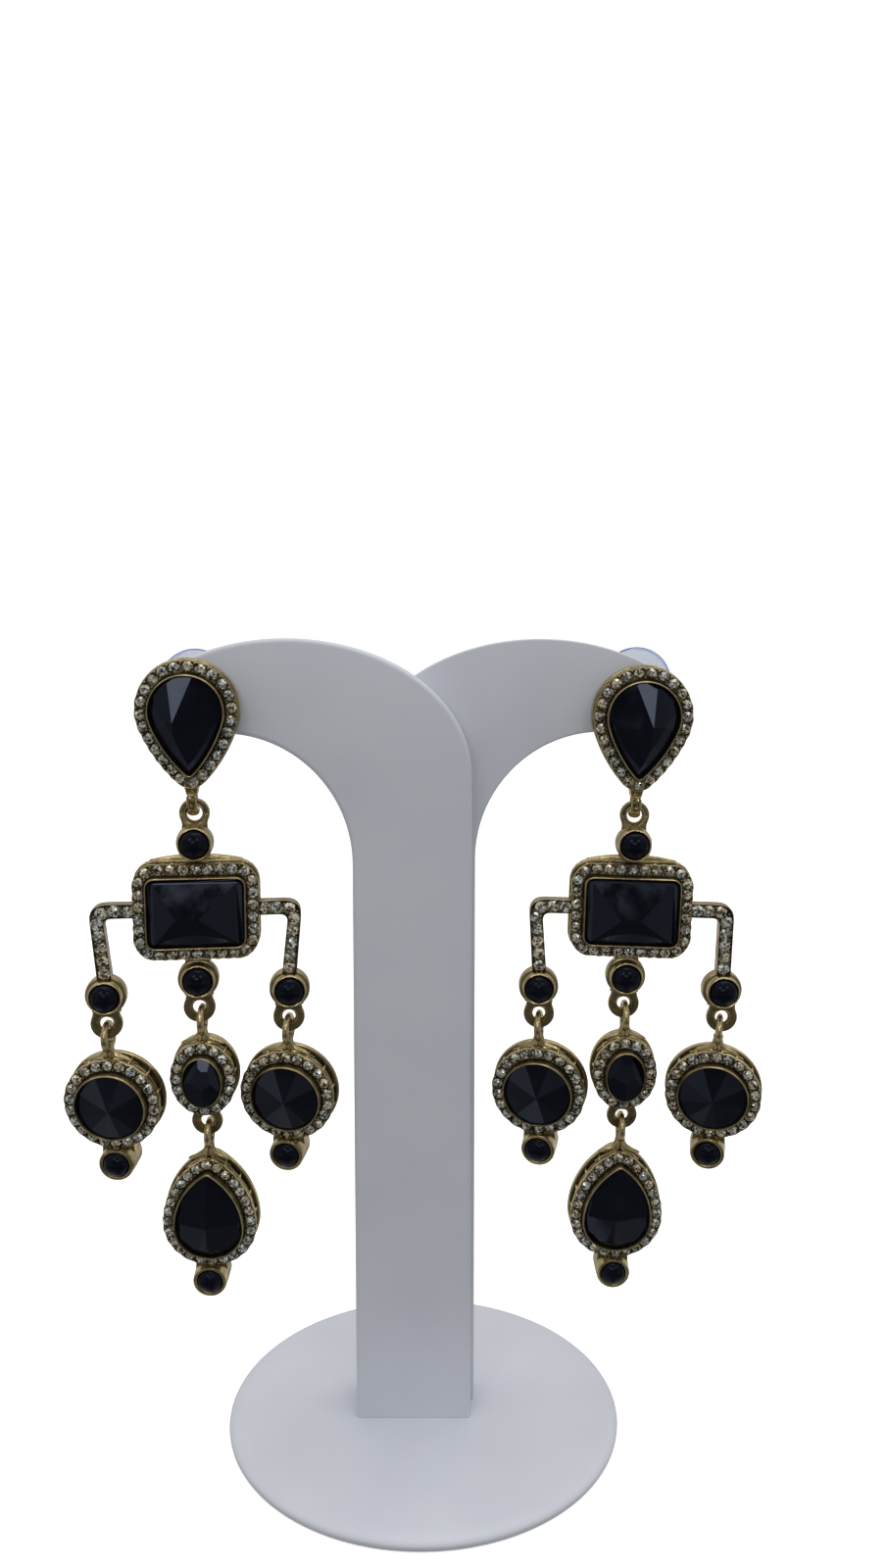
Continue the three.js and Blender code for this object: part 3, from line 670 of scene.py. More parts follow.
def open_tree(name, sockets):
    """A geometry tree that sets pieces at even places along a line of edges, with its named inputs."""
    tree = bpy.data.node_groups.new(name, "GeometryNodeTree")
    for socket, kind in [("Line", "Geometry"), ("Places", "Int"), *sockets]:
        tree.interface.new_socket(socket, in_out="INPUT", socket_type="NodeSocket" + kind)
    tree.interface.new_socket("Pieces", in_out="OUTPUT", socket_type="NodeSocketGeometry")
    given = add_node(tree, "NodeGroupInput").outputs
    line = add_node(tree, "GeometryNodeMeshToCurve", {"Mesh": given["Line"]})
    places = add_node(tree, "GeometryNodeResampleCurve", {"Curve": line, "Count": given["Places"]})
    return tree, given, places


def close_tree(tree, pieces, material):
    """Sets the material of a tree's real pieces and gives them out."""
    covered = add_node(tree, "GeometryNodeSetMaterial", {"Geometry": pieces, "Material": material})
    add_node(tree, "NodeGroupOutput", {0: covered})
    return tree


def every_other(tree, first):
    """A selection of every second point, from the first or the second one."""
    index = add_node(tree, "GeometryNodeInputIndex")
    rest = add_node(tree, "ShaderNodeMath", {0: index, 1: 2}, operation="MODULO")
    return add_node(tree, "FunctionNodeCompare", {"A": rest, "B": first, "Epsilon": 0.1},
                    data_type="FLOAT", operation="EQUAL")


def rhinestone_row():
    """Stones at every second place, each tilted a little its own way and given its own tone, and
    each of its facets its own painted sparkle, which picks its painted glint or painted shade."""
    tree, given, places = open_tree("row of rhinestones", [
        ("Stone", "Object"), ("Diameter", "Float"), ("Tilt", "Float"), ("Seed", "Int"), ("Glass", "Material"),
    ])
    stone = add_node(tree, "GeometryNodeObjectInfo", {"Object": given["Stone"]})
    tilt = add_node(tree, "ShaderNodeCombineXYZ", {"X": given["Tilt"], "Y": math.pi, "Z": given["Tilt"]})
    against = add_node(tree, "ShaderNodeVectorMath", {0: tilt, 1: (-1, -1, -1)}, operation="MULTIPLY")
    turn = add_node(tree, "FunctionNodeRandomValue", {"Min": against, "Max": tilt, "Seed": given["Seed"]},
                    data_type="FLOAT_VECTOR")
    turned = add_node(tree, "FunctionNodeEulerToRotation", {"Euler": turn})
    size = add_node(tree, "ShaderNodeCombineXYZ", {axis: given["Diameter"] for axis in "XYZ"})
    pieces = add_node(tree, "GeometryNodeInstanceOnPoints", {
        "Points": places, "Selection": every_other(tree, 0), "Instance": stone.outputs["Geometry"],
        "Rotation": turned, "Scale": size,
    })
    # Each stone gets a random tone, and each facet a random painted sparkle for its painted glint or painted
    # shade.
    for name, domain in (("tone", "INSTANCE"), ("sparkle", "FACE")):
        chance = add_node(tree, "FunctionNodeRandomValue", {
            "Min": 0.0, "Max": 1.0, "Seed": given["Seed"],
        }, data_type="FLOAT")
        pieces = add_node(tree, "GeometryNodeStoreNamedAttribute", {
            "Geometry": pieces, "Name": name, "Value": chance,
        }, data_type="FLOAT", domain=domain)
        if domain == "INSTANCE":
            pieces = add_node(tree, "GeometryNodeRealizeInstances", {"Geometry": pieces})
    return close_tree(tree, pieces, given["Glass"])


def bead_rows():
    """A bead on each side of the line in every gap between two stones."""
    tree, given, places = open_tree("beads between rhinestones", [
        ("Diameter", "Float"), ("Distance from the line", "Float"), ("Darkness", "Float"),
        ("Metal", "Material"),
    ])
    tangent = add_node(tree, "GeometryNodeInputTangent")
    across = add_node(tree, "ShaderNodeVectorMath", {0: tangent, 1: (0, 1, 0)}, operation="CROSS_PRODUCT")
    radius = add_node(tree, "ShaderNodeMath", {0: given["Diameter"], 1: 2}, operation="DIVIDE")
    bead = add_node(tree, "GeometryNodeMeshIcoSphere", {"Radius": radius, "Subdivisions": 2})
    both = add_node(tree, "GeometryNodeJoinGeometry")
    for way in (1, -1):
        distance = add_node(tree, "ShaderNodeMath", {0: given["Distance from the line"], 1: way},
                            operation="MULTIPLY")
        offset = add_node(tree, "ShaderNodeVectorMath", {0: across, "Scale": distance}, operation="SCALE")
        aside = add_node(tree, "GeometryNodeSetPosition", {"Geometry": places, "Offset": offset})
        beads = add_node(tree, "GeometryNodeInstanceOnPoints", {
            "Points": aside, "Selection": every_other(tree, 1), "Instance": bead,
        })
        tree.links.new(beads.outputs["Instances"], both.inputs[0])
    real = add_node(tree, "GeometryNodeRealizeInstances", {"Geometry": both})
    dark = add_node(tree, "GeometryNodeStoreNamedAttribute", {
        "Geometry": real, "Name": "dark", "Value": given["Darkness"],
    }, data_type="FLOAT", domain="POINT")
    smooth = add_node(tree, "GeometryNodeSetShadeSmooth", {"Geometry": dark})
    return close_tree(tree, smooth, given["Metal"])


def gallery_posts():
    """Short upright posts at every place."""
    tree, given, places = open_tree("posts of the gallery", [
        ("Height", "Float"), ("Thickness", "Float"), ("Metal", "Material"),
    ])
    radius = add_node(tree, "ShaderNodeMath", {0: given["Thickness"], 1: 2}, operation="DIVIDE")
    post = add_node(tree, "GeometryNodeMeshCylinder", {
        "Vertices": 8, "Radius": radius, "Depth": given["Height"],
    })
    lying = add_node(tree, "FunctionNodeEulerToRotation", {"Euler": (math.pi / 2, 0, 0)})
    posts = add_node(tree, "GeometryNodeInstanceOnPoints", {
        "Points": places, "Instance": post, "Rotation": lying,
    })
    real = add_node(tree, "GeometryNodeRealizeInstances", {"Geometry": posts})
    smooth = add_node(tree, "GeometryNodeSetShadeSmooth", {"Geometry": real})
    return close_tree(tree, smooth, given["Metal"])


CHATON = chaton()
RHINESTONE_ROW = rhinestone_row()
BEAD_ROWS = bead_rows()
GALLERY_POSTS = gallery_posts()


def laid_along(tree, line, closed, **values):
    """Runs a geometry tree on a line and returns the finished mesh, its modifier gone with it."""
    edges = [(i, i + 1) for i in range(len(line) - 1)] + ([(len(line) - 1, 0)] if closed else [])
    carrier = new_object("line", bpy.data.meshes.new("line"))
    carrier.data.from_pydata(line, edges, [])
    modifier = carrier.modifiers.new(tree.name, "NODES")
    modifier.node_group = tree
    for item in tree.interface.items_tree:
        key = item.name.replace(" ", "_").lower()
        if item.in_out == "INPUT" and key in values:
            modifier[item.identifier] = values[key]
    mesh = evaluated(carrier)
    bpy.data.objects.remove(carrier)
    return mesh


def band_line(points, spread, height, x=0, y=0, z=0):
    """A line in space that runs at one spread and height round an outline."""
    return [(x + px + spread * nx, y - height, z + pz + spread * nz)
            for px, pz, nx, nz, _ in traced(filled(points))]


def stones_and_beads(line, closed, count, seed, size=RHINESTONE_SIZE):
    """Rhinestones at even places along a line, and two beads in each gap between them."""
    gaps = 2 * count if closed else 2 * count - 1
    stones = laid_along(RHINESTONE_ROW, line, closed, stone=CHATON, diameter=size,
                        places=gaps, tilt=RHINESTONE_TILT, seed=seed, glass=RHINESTONE)
    beads = laid_along(BEAD_ROWS, line, closed, diameter=BEAD_SIZE, distance_from_the_line=BEAD_ASIDE,
                       places=gaps, darkness=BEAD_DARKNESS, metal=GOLD)
    return stones, beads


def posts_round(points, back, x=0, y=0, z=0):
    """The short posts that join a setting's drilled band to its back rim."""
    low, high = back + RIM_HEIGHT, BAND_UNDERSIDE
    line = band_line(points, BAND_EDGE - 0.25, (low + high) / 2, x, y, z)
    return laid_along(GALLERY_POSTS, line, True, height=high - low + 0.3, thickness=GALLERY_POST_SIZE,
                      places=round(len(line) * OUTLINE_STEP / GALLERY_POST_PITCH), metal=GOLD)


GIRDLE = 2.95
GIRDLE_FACET_LEVEL = 2.75
BLANK_HEIGHT = 6
SEAT_GAP = 0.06


def ground(points, cuts):
    """A flat-backed stone, ground to shape one flat facet at a time. Each cut has a spot that it
    passes through, and how far its facet falls for each millimetre to the right and upwards."""
    blank = bmesh.new()
    front, back = [], []
    for x, z, nx, nz, _ in traced(points):
        front.append(blank.verts.new((x - SEAT_GAP * nx, -BLANK_HEIGHT, z - SEAT_GAP * nz)))
        back.append(blank.verts.new((x - SEAT_GAP * nx, -STONE_BACK, z - SEAT_GAP * nz)))
    blank.faces.new(front)
    blank.faces.new(back[::-1])
    for i in range(len(front)):
        j = (i + 1) % len(front)
        blank.faces.new((front[i], back[i], back[j], front[j]))
    for x, z, height, fall_right, fall_up in cuts:
        everything = blank.verts[:] + blank.edges[:] + blank.faces[:]
        result = bmesh.ops.bisect_plane(blank, geom=everything, dist=1e-5, clear_outer=True,
                                        plane_co=(x, -height, z), plane_no=(fall_right, -1, fall_up))
        edges = [e for e in result["geom_cut"] if isinstance(e, bmesh.types.BMEdge)]
        if edges:
            bmesh.ops.edgeloop_fill(blank, edges=edges)
    blank.verts.index_update()
    corners = [v.co.copy() for v in blank.verts]
    faces = [tuple(v.index for v in face.verts) for face in blank.faces]
    blank.free()
    return corners, faces, [0] * len(corners)


def fan(apex, falls):
    """Facets that all meet in a stone's apex."""
    return [(*apex, *fall) for fall in falls]


def girdle_facets(points, count, steepness):
    """Small steep facets all round a stone's edge, which they meet at one level."""
    rim = traced(points)
    chosen = [rim[round(len(rim) * (k + 0.5) / count) % len(rim)] for k in range(count)]
    return [(x, z, GIRDLE_FACET_LEVEL, steepness * nx, steepness * nz) for x, z, nx, nz, _ in chosen]


STUD_PEAR = pear_points(lobe=5, point=STUD_POINT, tip=0.5, waist=20)
STUD_FACETS = {
    "left": fan((-1.74, -1.25, 4.3), [
        (0.03, 0.25), (-0.22, 0.225), (-0.27, -0.1), (0.15, -0.09), (0.21, 0.165),
    ]),
    "right": fan((1.2, -1.2, 4.3), [
        (-0.07, 0.22), (0.17, 0.21), (0.21, -0.1), (-0.2, -0.09), (-0.225, 0.15),
    ]),
}
STRAP_MIDDLE = -1.4
STRAP_BEND = 1.25
STRAP_LOW = -12.9
STRAP_DROP = 1.6
SLOT_TOP = -11.8


def stud_neck_and_strap():
    """The tapered neck under the stud's point, and the strap bent into a U, slotted in front."""
    neck = slab([(-1.9, -8.6), (-1.3, -9.8), (-0.98, -11), (-0.78, -11.9), (0.78, -11.9), (0.98, -11),
                 (1.3, -9.8), (1.9, -8.6)], front=2.1, back=0.05, dark=0.3, edge=0.3)
    turns = [math.radians(a) for a in range(0, 181, 15)]
    bend = [(0, STRAP_MIDDLE + STRAP_BEND * math.cos(a), STRAP_LOW - STRAP_DROP * math.sin(a)) for a in turns]
    back_y, front_y = bend[0][1], bend[-1][1]
    swell = [math.sin(a) ** 2 for a in turns[:-2]]
    widths = [(0.6, 0.25)] * 2 + [(0.6 + 0.3 * more, 0.25 + 0.35 * more) for more in swell]
    strap = tube([(0, back_y, -10.7), (0, back_y, SLOT_TOP), *bend[:-2]], widths, (1, 0, 0), sides=12)
    rails = []
    for way in (-1, 1):
        rise = [(way * across, y, z) for across, (_, y, z) in zip((0.4, 0.5, 0.53), bend[-3:])]
        rise += [(way * across, front_y, z) for across, z in ((0.53, -12.4), (0.48, -12), (0.25, SLOT_TOP))]
        rails.append(tube(rise, (0.2, 0.26), (1, 0, 0)))
    bar = tube([(x, front_y, SLOT_TOP) for x in (-0.4, 0, 0.4)], (0.22, 0.26), (0, 0, 1))
    roof = tube([(0, front_y, -11.75), (0, -1.8, -11.5), (0, back_y, -11.75)], (0.6, 0.3), (1, 0, 0))
    return [neck, strap, roof, *rails, bar]


# A form drawn about its own axis starts from an outline of this radius.
AXIS_RADIUS = 0.01
SOLDER_RADIUS = 1.1


def ear_post(x, z):
    """The ear post, its rounded end grooved for the clutch."""
    rows = [(0.4, -0.3), (0.4, 8.8), (0.33, 9.0), (0.33, 9.3), (0.4, 9.5), (0.38, 10.2), (0.25, 10.5)]
    outline = round_outline(AXIS_RADIUS, 0.7, x, z)
    return loft(outline, [(radius - AXIS_RADIUS, -length, 0.1) for radius, length in rows])


for number, side in enumerate(SIDES):
    place = STUD_PLACE[side]
    post_x, post_z = STUD_POST[side]
    line = band_line(STUD_PEAR, BAND_MIDDLE, STONE_LEVEL)
    stones, beads = stones_and_beads(line, True, stone_count(STUD_PEAR), 11 + number)
    solder = loft(round_outline(SOLDER_RADIUS, OUTLINE_STEP, post_x, post_z), [
        (-0.7, -0.45, 0.2), (-0.2, -0.25, 0.3), (0, 0.1, 0.5), (0, 0.3, 0.5),
    ])
    casting = shell_mesh("casting", [
        setting(STUD_PEAR, 0), *stud_neck_and_strap(), ear_post(post_x, post_z), solder,
    ], GOLD)
    finish_piece(f"{side}_stud_casting", [casting, beads, posts_round(STUD_PEAR, 0)], place,
                 STAND_BODY, "antique_gold", f"{side}_stud")
    finish_piece(f"{side}_stud_rhinestones", [stones], place, STAND_BODY, None)
    cuts = STUD_FACETS[side] + girdle_facets(STUD_PEAR, count=14, steepness=0.62)
    pear = shell_mesh("pear", [ground(STUD_PEAR, cuts)], BLACK_GLASS, flat=True)
    finish_piece(f"{side}_stud_black_pear", [pear], place,
                 STAND_BODY, "black_glass", f"{side}_stud_stone")

# ------------------------------------------------------------------ clutches
# Behind each plate a round clutch of clear polycarbonate is pushed onto the ear post: a wide disc
# with a rounded edge, and a short barrel with a brass friction tube in it.

CLUTCH_STANDOFF = 7.1
CLUTCH_BORE = 0.62


def clear_polycarbonate():
    """Clear moulded polycarbonate: glassy, with a polished skin, and blue along its thick rim."""
    material, tree = new_material("clear polycarbonate")
    [haze] = patterns(tree, (2, 2))
    rough = add_node(tree, "ShaderNodeMapRange", {"Value": haze, "To Min": 0.04, "To Max": 0.1})
    rim = add_node(tree, "ShaderNodeAttribute", attribute_name="dark")
    colour = add_node(tree, "ShaderNodeMix", {
        "Factor": rim.outputs["Fac"], "A": linear("#c3c9d2"), "B": linear("#5c78b8"),
    }, data_type="RGBA")
    return surfaced(material, tree, {
        "Base Color": colour, "Roughness": rough, "IOR": 1.49, "Transmission Weight": 0.85,
    })


CLEAR_PLASTIC = clear_polycarbonate()
DISC_ROWS = [
    (0, 0, 0), (4.2, 0, 0), (4.55, -0.08, 0.8), (4.7, -0.3, 1), (4.73, -0.5, 1), (4.7, -0.7, 1),
    (4.55, -0.92, 0.8), (4.2, -1, 0), (1.5, -1, 0), (1.15, -1.1, 0), (0.98, -1.4, 0), (0.92, -3.3, 0),
    (0.8, -3.8, 0), (0.6, -4, 0), (0, -4, 0),
]
SLEEVE_ROWS = [(-0.1, -0.4, 0), (0.35, -0.4, 0), (0.35, -3.4, 0), (-0.02, -3.6, 0), (-0.1, -3.5, 0)]
for side in SIDES:
    post_x, post_z = STUD_POST[side]
    place = STUD_PLACE[side] @ Matrix.Translation((post_x, CLUTCH_STANDOFF, post_z))
    disc = loft(round_outline(CLUTCH_BORE, step=0.12), DISC_ROWS, ring=True)
    finish_piece(f"{side}_clutch_disc", [shell_mesh("disc", [disc], CLEAR_PLASTIC)], place,
                 STAND_BODY, "clear_plastic", f"{side}_clutch")
    sleeve = loft(round_outline(CLUTCH_BORE), SLEEVE_ROWS, ring=True)
    finish_piece(f"{side}_clutch_sleeve", [shell_mesh("sleeve", [sleeve], GOLD)], place,
                 STAND_BODY, "antique_gold")

# ------------------------------------------------------------------ main castings
# Under each stud hangs the main casting, in the same plated zinc: a ring, a cup, the rectangle with
# its rhinestone border and arched back rim, two L-shaped arms set with rhinestones, and three more
# cups with pierced lugs. Small black glass cabochons are glued into the cups.

LINK_LIFT = 0.4
FRAME_STONE = -15.75
HALF_WIDTH = 6.72
HALF_HEIGHT = 4.85
CORNER = 1.25
SETTING_BACK = -1.2
RING_MIDDLE = -1.75
# A pierced disc's radius, its hole's radius and its thickness.
RING = (2.15, 1.08, 0.8)
LUG = (2.3, 0.93, 0.7)
CUP_SEAT = 2.1
ARM_WIDTH = 2.1
ARM_START_X = 7.9
ARM_CORNER_X = 14
ARM_BEND = 1.6
ARM_RHINESTONE_SIZE = 1.86
ARM_STONE_PITCH = 1.7
ARM_STONE_LEVEL = 1.86
ARM_FIRST_STONE = 0.75
ARM_LAST_STONE = 3.35
ARM_LEVEL = FRAME_STONE + 0.3
FLANGE = {"top": 0.55, "bottom": 0.85, "outer": 0.85, "inner": 0.85}
RECTANGLE_RIDGE = {"left": ((-2.7, -0.7), (0.4, -0.7)), "right": ((-1.6, -1.1), (1.2, -1.1))}


def rounded(corners, steps=6):
    """Points round a polygon whose corners each have a radius, anticlockwise."""
    points = []
    for i, (x, z, radius) in enumerate(corners):
        here = Vector((x, z))
        into = (here - Vector(corners[i - 1][:2])).normalized()
        out = (Vector(corners[(i + 1) % len(corners)][:2]) - here).normalized()
        turn = into.angle_signed(out)
        if radius == 0 or abs(turn) < 1e-3:
            points.append((x, z))
            continue
        run = radius * math.tan(abs(turn) / 2)
        start, end = here - into * run, here + out * run
        for k in range(steps + 1):
            t = k / steps
            bend = (1 - t) ** 2 * start + 2 * t * (1 - t) * here + t * t * end
            points.append(tuple(bend))
    return points


RECTANGLE = rounded([
    (0, HALF_HEIGHT, 0), (-HALF_WIDTH, HALF_HEIGHT, CORNER), (-HALF_WIDTH, -HALF_HEIGHT, CORNER),
    (HALF_WIDTH, -HALF_HEIGHT, CORNER), (HALF_WIDTH, HALF_HEIGHT, CORNER),
])


def low_cup_rows(flange):
    """A cup's inside, its rolled lip, its side, and the flange of the casting round it."""
    return [
        (0, 1.0, 1), (0, 2.8, 0.8), (0.03, 2.95, 0.2), (0.12, 3.0, 0), (0.22, 2.97, 0), (0.3, 2.85, 0.05),
        (0.36, 2.5, 0.2), (0.42, 1.75, 0.4), (0.46, 1.6, 0.6), (flange - 0.14, 1.55, 0.35),
        (flange - 0.06, 1.48, 0.05), (flange - 0.01, 1.3, 0), (flange, 0.2, 0.15),
        (flange - 0.05, 0.05, 0.05), (flange - 0.15, 0, 0.15),
    ]


def cup(x, z, rows):
    """A round cup for a cabochon."""
    return moved(loft(round_outline(CUP_SEAT), rows), x, 0, z)


def lug(outer, hole, face):
    """A flat disc whose front is darkened with patina and painted shade, and whose pierced hole has a raised
    lip left bright.
    """
    reach = outer - hole
    return loft(round_outline(hole), [
        (0, 0.1, 0.3), (0, face * 0.4, 0.2), (0.06, face * 0.75, 0.05), (0.14, face - 0.04, 0),
        (0.24, face + 0.05, 0), (0.32, face, 0.1), (0.38, face - 0.1, 0.6), (reach - 0.25, face - 0.06, 0.4),
        (reach - 0.08, face - 0.08, 0.1), (reach, face - 0.25, 0.15), (reach, 0.15, 0.3),
        (reach - 0.12, 0, 0.2), (0.1, 0, 0.3),
    ], ring=True)


WAIST = ((0.98, 0), (0.95, 0.28), (0.86, 0.55), (0.82, 0.78), (0.85, 1))


def shoulders(outer, hole, face, way):
    """The metal on both sides of a pierced disc that joins it, with a slight waist, to the part
    above or below it."""
    inner = hole + 0.42
    curve = ellipse(0, 0, inner, inner, 0, 75, 5)
    outline = [(outer * across, outer * along) for across, along in WAIST] + [(0.4, outer)] + curve[::-1]
    parts = []
    for side_way in (-1, 1):
        points = [(side_way * x, way * z) for x, z in outline]
        if side_way * way < 0:
            points.reverse()
        parts.append(slab(points, front=face - 0.05, back=0.02, dark=0.4))
    return parts


def pierced(x, z, way, size):
    """A pierced disc with the metal that joins it upwards (1) or downwards (-1)."""
    return [moved(part, x, 0, z) for part in (lug(*size), *shoulders(*size, way))]


def web(top, bottom, half_widths, front, back=0.04):
    """The plain metal that joins two parts of a casting, one above the other."""
    (top_x, top_z), (bottom_x, bottom_z), (half_top, half_bottom) = top, bottom, half_widths
    return slab([(top_x - half_top, top_z), (bottom_x - half_bottom, bottom_z),
                 (bottom_x + half_bottom, bottom_z), (top_x + half_top, top_z)], front, back, dark=0.45)


DOME_BOTTOM = 1.1
DOME_STEPS = 12
DOME_TIP = 0.004
DOME_FULLNESS = 1.15


def dome(x, z, top, radius=2.0, lift=1.2):
    """A cabochon: a smooth round dome on a short wall."""
    girdle = top - 0.2
    rows = [(radius - AXIS_RADIUS, DOME_BOTTOM, 0)]
    for step in range(DOME_STEPS + 1):
        turn = math.pi / 2 * step / DOME_STEPS
        reach = max(radius * math.cos(turn), DOME_TIP)
        rows.append((reach - AXIS_RADIUS, girdle + lift * math.sin(turn) ** DOME_FULLNESS, 0))
    return moved(loft(round_outline(AXIS_RADIUS, step=0.2), rows), x, 0, z)


def arm_line(way, end_x, end_z):
    """The line of an arm's rhinestones, from the rectangle's border round the bend to the cup."""
    bent = rounded([
        (way * (HALF_WIDTH + BAND_EDGE + ARM_FIRST_STONE), ARM_LEVEL, 0),
        (way * ARM_CORNER_X, ARM_LEVEL, ARM_BEND), (end_x, end_z + ARM_LAST_STONE, 0),
    ])
    return [(x, -ARM_STONE_LEVEL, z) for x, z in bent]


def pave_arm(way, end_x, end_z):
    """An L-shaped channel with raised sides that holds a row of rhinestones."""
    half = ARM_WIDTH / 2
    low = end_z + CUP_SEAT
    corners = [
        (way * ARM_START_X, ARM_LEVEL - half, 0), (way * (ARM_CORNER_X - half), ARM_LEVEL - half, 1.1),
        (end_x - way * half, low, 0), (end_x + way * half, low, 0),
        (way * (ARM_CORNER_X + half), ARM_LEVEL + half, 2.3), (way * ARM_START_X, ARM_LEVEL + half, 0),
    ]
    if way < 0:
        corners.reverse()
    return loft(traced(rounded(corners)), [
        (-0.3, 1.72, 0.95), (-0.16, 1.76, 0.8), (-0.12, 1.96, 0.45), (-0.07, 2.02, 0.25), (-0.03, 2.0, 0.25),
        (0, 1.9, 0.3), (0, 0.15, 0.25), (-0.05, 0.04, 0.15), (-0.15, 0, 0.2),
    ])


def crest():
    """The back rim's arch over the rectangle."""
    half, rise = 6.6, 0.75
    base, edge = FRAME_STONE + 5.9, FRAME_STONE + HALF_HEIGHT + RIM_EDGE
    arch = [(half - half * i / 10, edge + rise * (1 - (1 - i / 10) ** 2)) for i in range(21)]
    return slab([(-half, base), (half, base)] + arch, front=-0.6, back=SETTING_BACK, dark=0.1, edge=0.15)


def bridged(inner, outer):
    """Triangles between two chains of corners that run the same way."""
    faces, i, j = [], 0, 0
    while i < len(inner) - 1 or j < len(outer) - 1:
        if j == len(outer) - 1 or (i < len(inner) - 1 and i / (len(inner) - 1) < j / (len(outer) - 1)):
            faces.append((inner[i], outer[j], inner[i + 1]))
            i += 1
        else:
            faces.append((inner[i], outer[j], outer[j + 1]))
            j += 1
    return faces


RECTANGLE_FIT = (0.99, 0.985)
RECTANGLE_INSET = 0.3
CORNER_LEAN = 0.7
ARCH_RISE = 1.3
ARCH_STEPS = 16
RIDGE_HEIGHT = 4.15
LOWER_SLOPE = math.tan(math.radians(9.5))


def rectangle_stone(ridge):
    """A hip-roof cut: four big facets meet in a short ridge, and the lowest edge is ground to a
    curved facet under an arch."""
    line = [(x * RECTANGLE_FIT[0], z * RECTANGLE_FIT[1]) for x, z in filled(RECTANGLE)]
    count = len(line)
    points = [(x, -RIDGE_HEIGHT, z) for x, z in ridge]
    points += [(x, -GIRDLE, z) for x, z in line] + [(x, -STONE_BACK, z) for x, z in line]
    rim = [2 + i for i in range(count)]
    ways = ((-1, 1), (-1, -1), (1, -1), (1, 1))
    near = []
    for way_x, way_z in ways:
        near.append(max(range(count), key=lambda i: line[i][0] * way_x * CORNER_LEAN + line[i][1] * way_z))
    corners = []
    for (way_x, way_z), end in zip(ways, near):
        corners.append(len(points))
        z = line[end][1] - way_z * RECTANGLE_INSET
        end_ridge = ridge[0] if way_x < 0 else ridge[1]
        height = RIDGE_HEIGHT - LOWER_SLOPE * abs(end_ridge[1] - z)
        points.append((line[end][0] - way_x * RECTANGLE_INSET, -height, z))
    start, stop = Vector(points[corners[1]]), Vector(points[corners[2]])
    arch = [corners[1]]
    for k in range(1, ARCH_STEPS):
        spot = start.lerp(stop, k / ARCH_STEPS)
        spot.z += ARCH_RISE * math.sin(math.pi * k / ARCH_STEPS)
        spot.y = -(RIDGE_HEIGHT - LOWER_SLOPE * (ridge[0][1] - spot.z))
        arch.append(len(points))
        points.append(tuple(spot))
    arch.append(corners[2])
    faces = [(0, corners[0], corners[1]), (1, corners[2], corners[3]), (0, 1, corners[3], corners[0])]
    half = ARCH_STEPS // 2
    faces += [(0 if k < half else 1, arch[k], arch[k + 1]) for k in range(ARCH_STEPS)]
    faces.append((0, arch[half], 1))
    chains = ([corners[0], corners[1]], arch, [corners[2], corners[3]], [corners[3], corners[0]])
    for k, chain in enumerate(chains):
        run = (near[(k + 1) % 4] - near[k]) % count
        faces += bridged(chain, [rim[(near[k] + i) % count] for i in range(run + 1)])
    for i in range(count):
        j = (i + 1) % count
        faces.append((rim[i], rim[j], rim[j] + count, rim[i] + count))
    faces.append(tuple(r + count for r in rim))
    return points, faces, [0] * len(points)


HINGES = {joint["child"]: Vector(joint["pos_m"]) for joint in frame["joints"]}
HOLE_REACH = 1.6
WEB_END = 0.4


def middle_of(place, node, hinge=None):
    """Where a node's middle, or that of its corners close round a hinge, lies in its casting."""
    corners = [v for v in vertices_of(node) if hinge is None or (v - hinge).length < HOLE_REACH * MM]
    middle = sum([place.inverted() @ v for v in corners], Vector()) / len(corners)
    return middle.x, middle.z


def main_casting_parts(side, place, cups):
    """All the shells of one main casting."""
    parts = [
        moved(setting(RECTANGLE, SETTING_BACK), 0, 0, FRAME_STONE), crest(),
        *pierced(0, RING_MIDDLE, -1, RING),
        web((0, -3.4), cups["top"], (1.8, 1.9), front=0.74),
        web((cups["bottom"][0], FRAME_STONE - 5.2), cups["bottom"], (1.7, 1.9), front=1.5),
    ]
    parts += [cup(x, z, low_cup_rows(FLANGE[spot])) for spot, (x, z) in cups.items()]
    for spot, above in (("outer", cups["outer"]), ("inner", cups["inner"]), ("oval", cups["bottom"])):
        x, z = middle_of(place, f"{side}_frame", HINGES[f"{side}_{spot}"])
        parts += pierced(x, z, 1, LUG)
        below = (x + (above[0] - x) * WEB_END, z + (above[1] - z) * WEB_END)
        parts.append(web(above, below, (1.9, 2.1), front=0.64))
    return parts


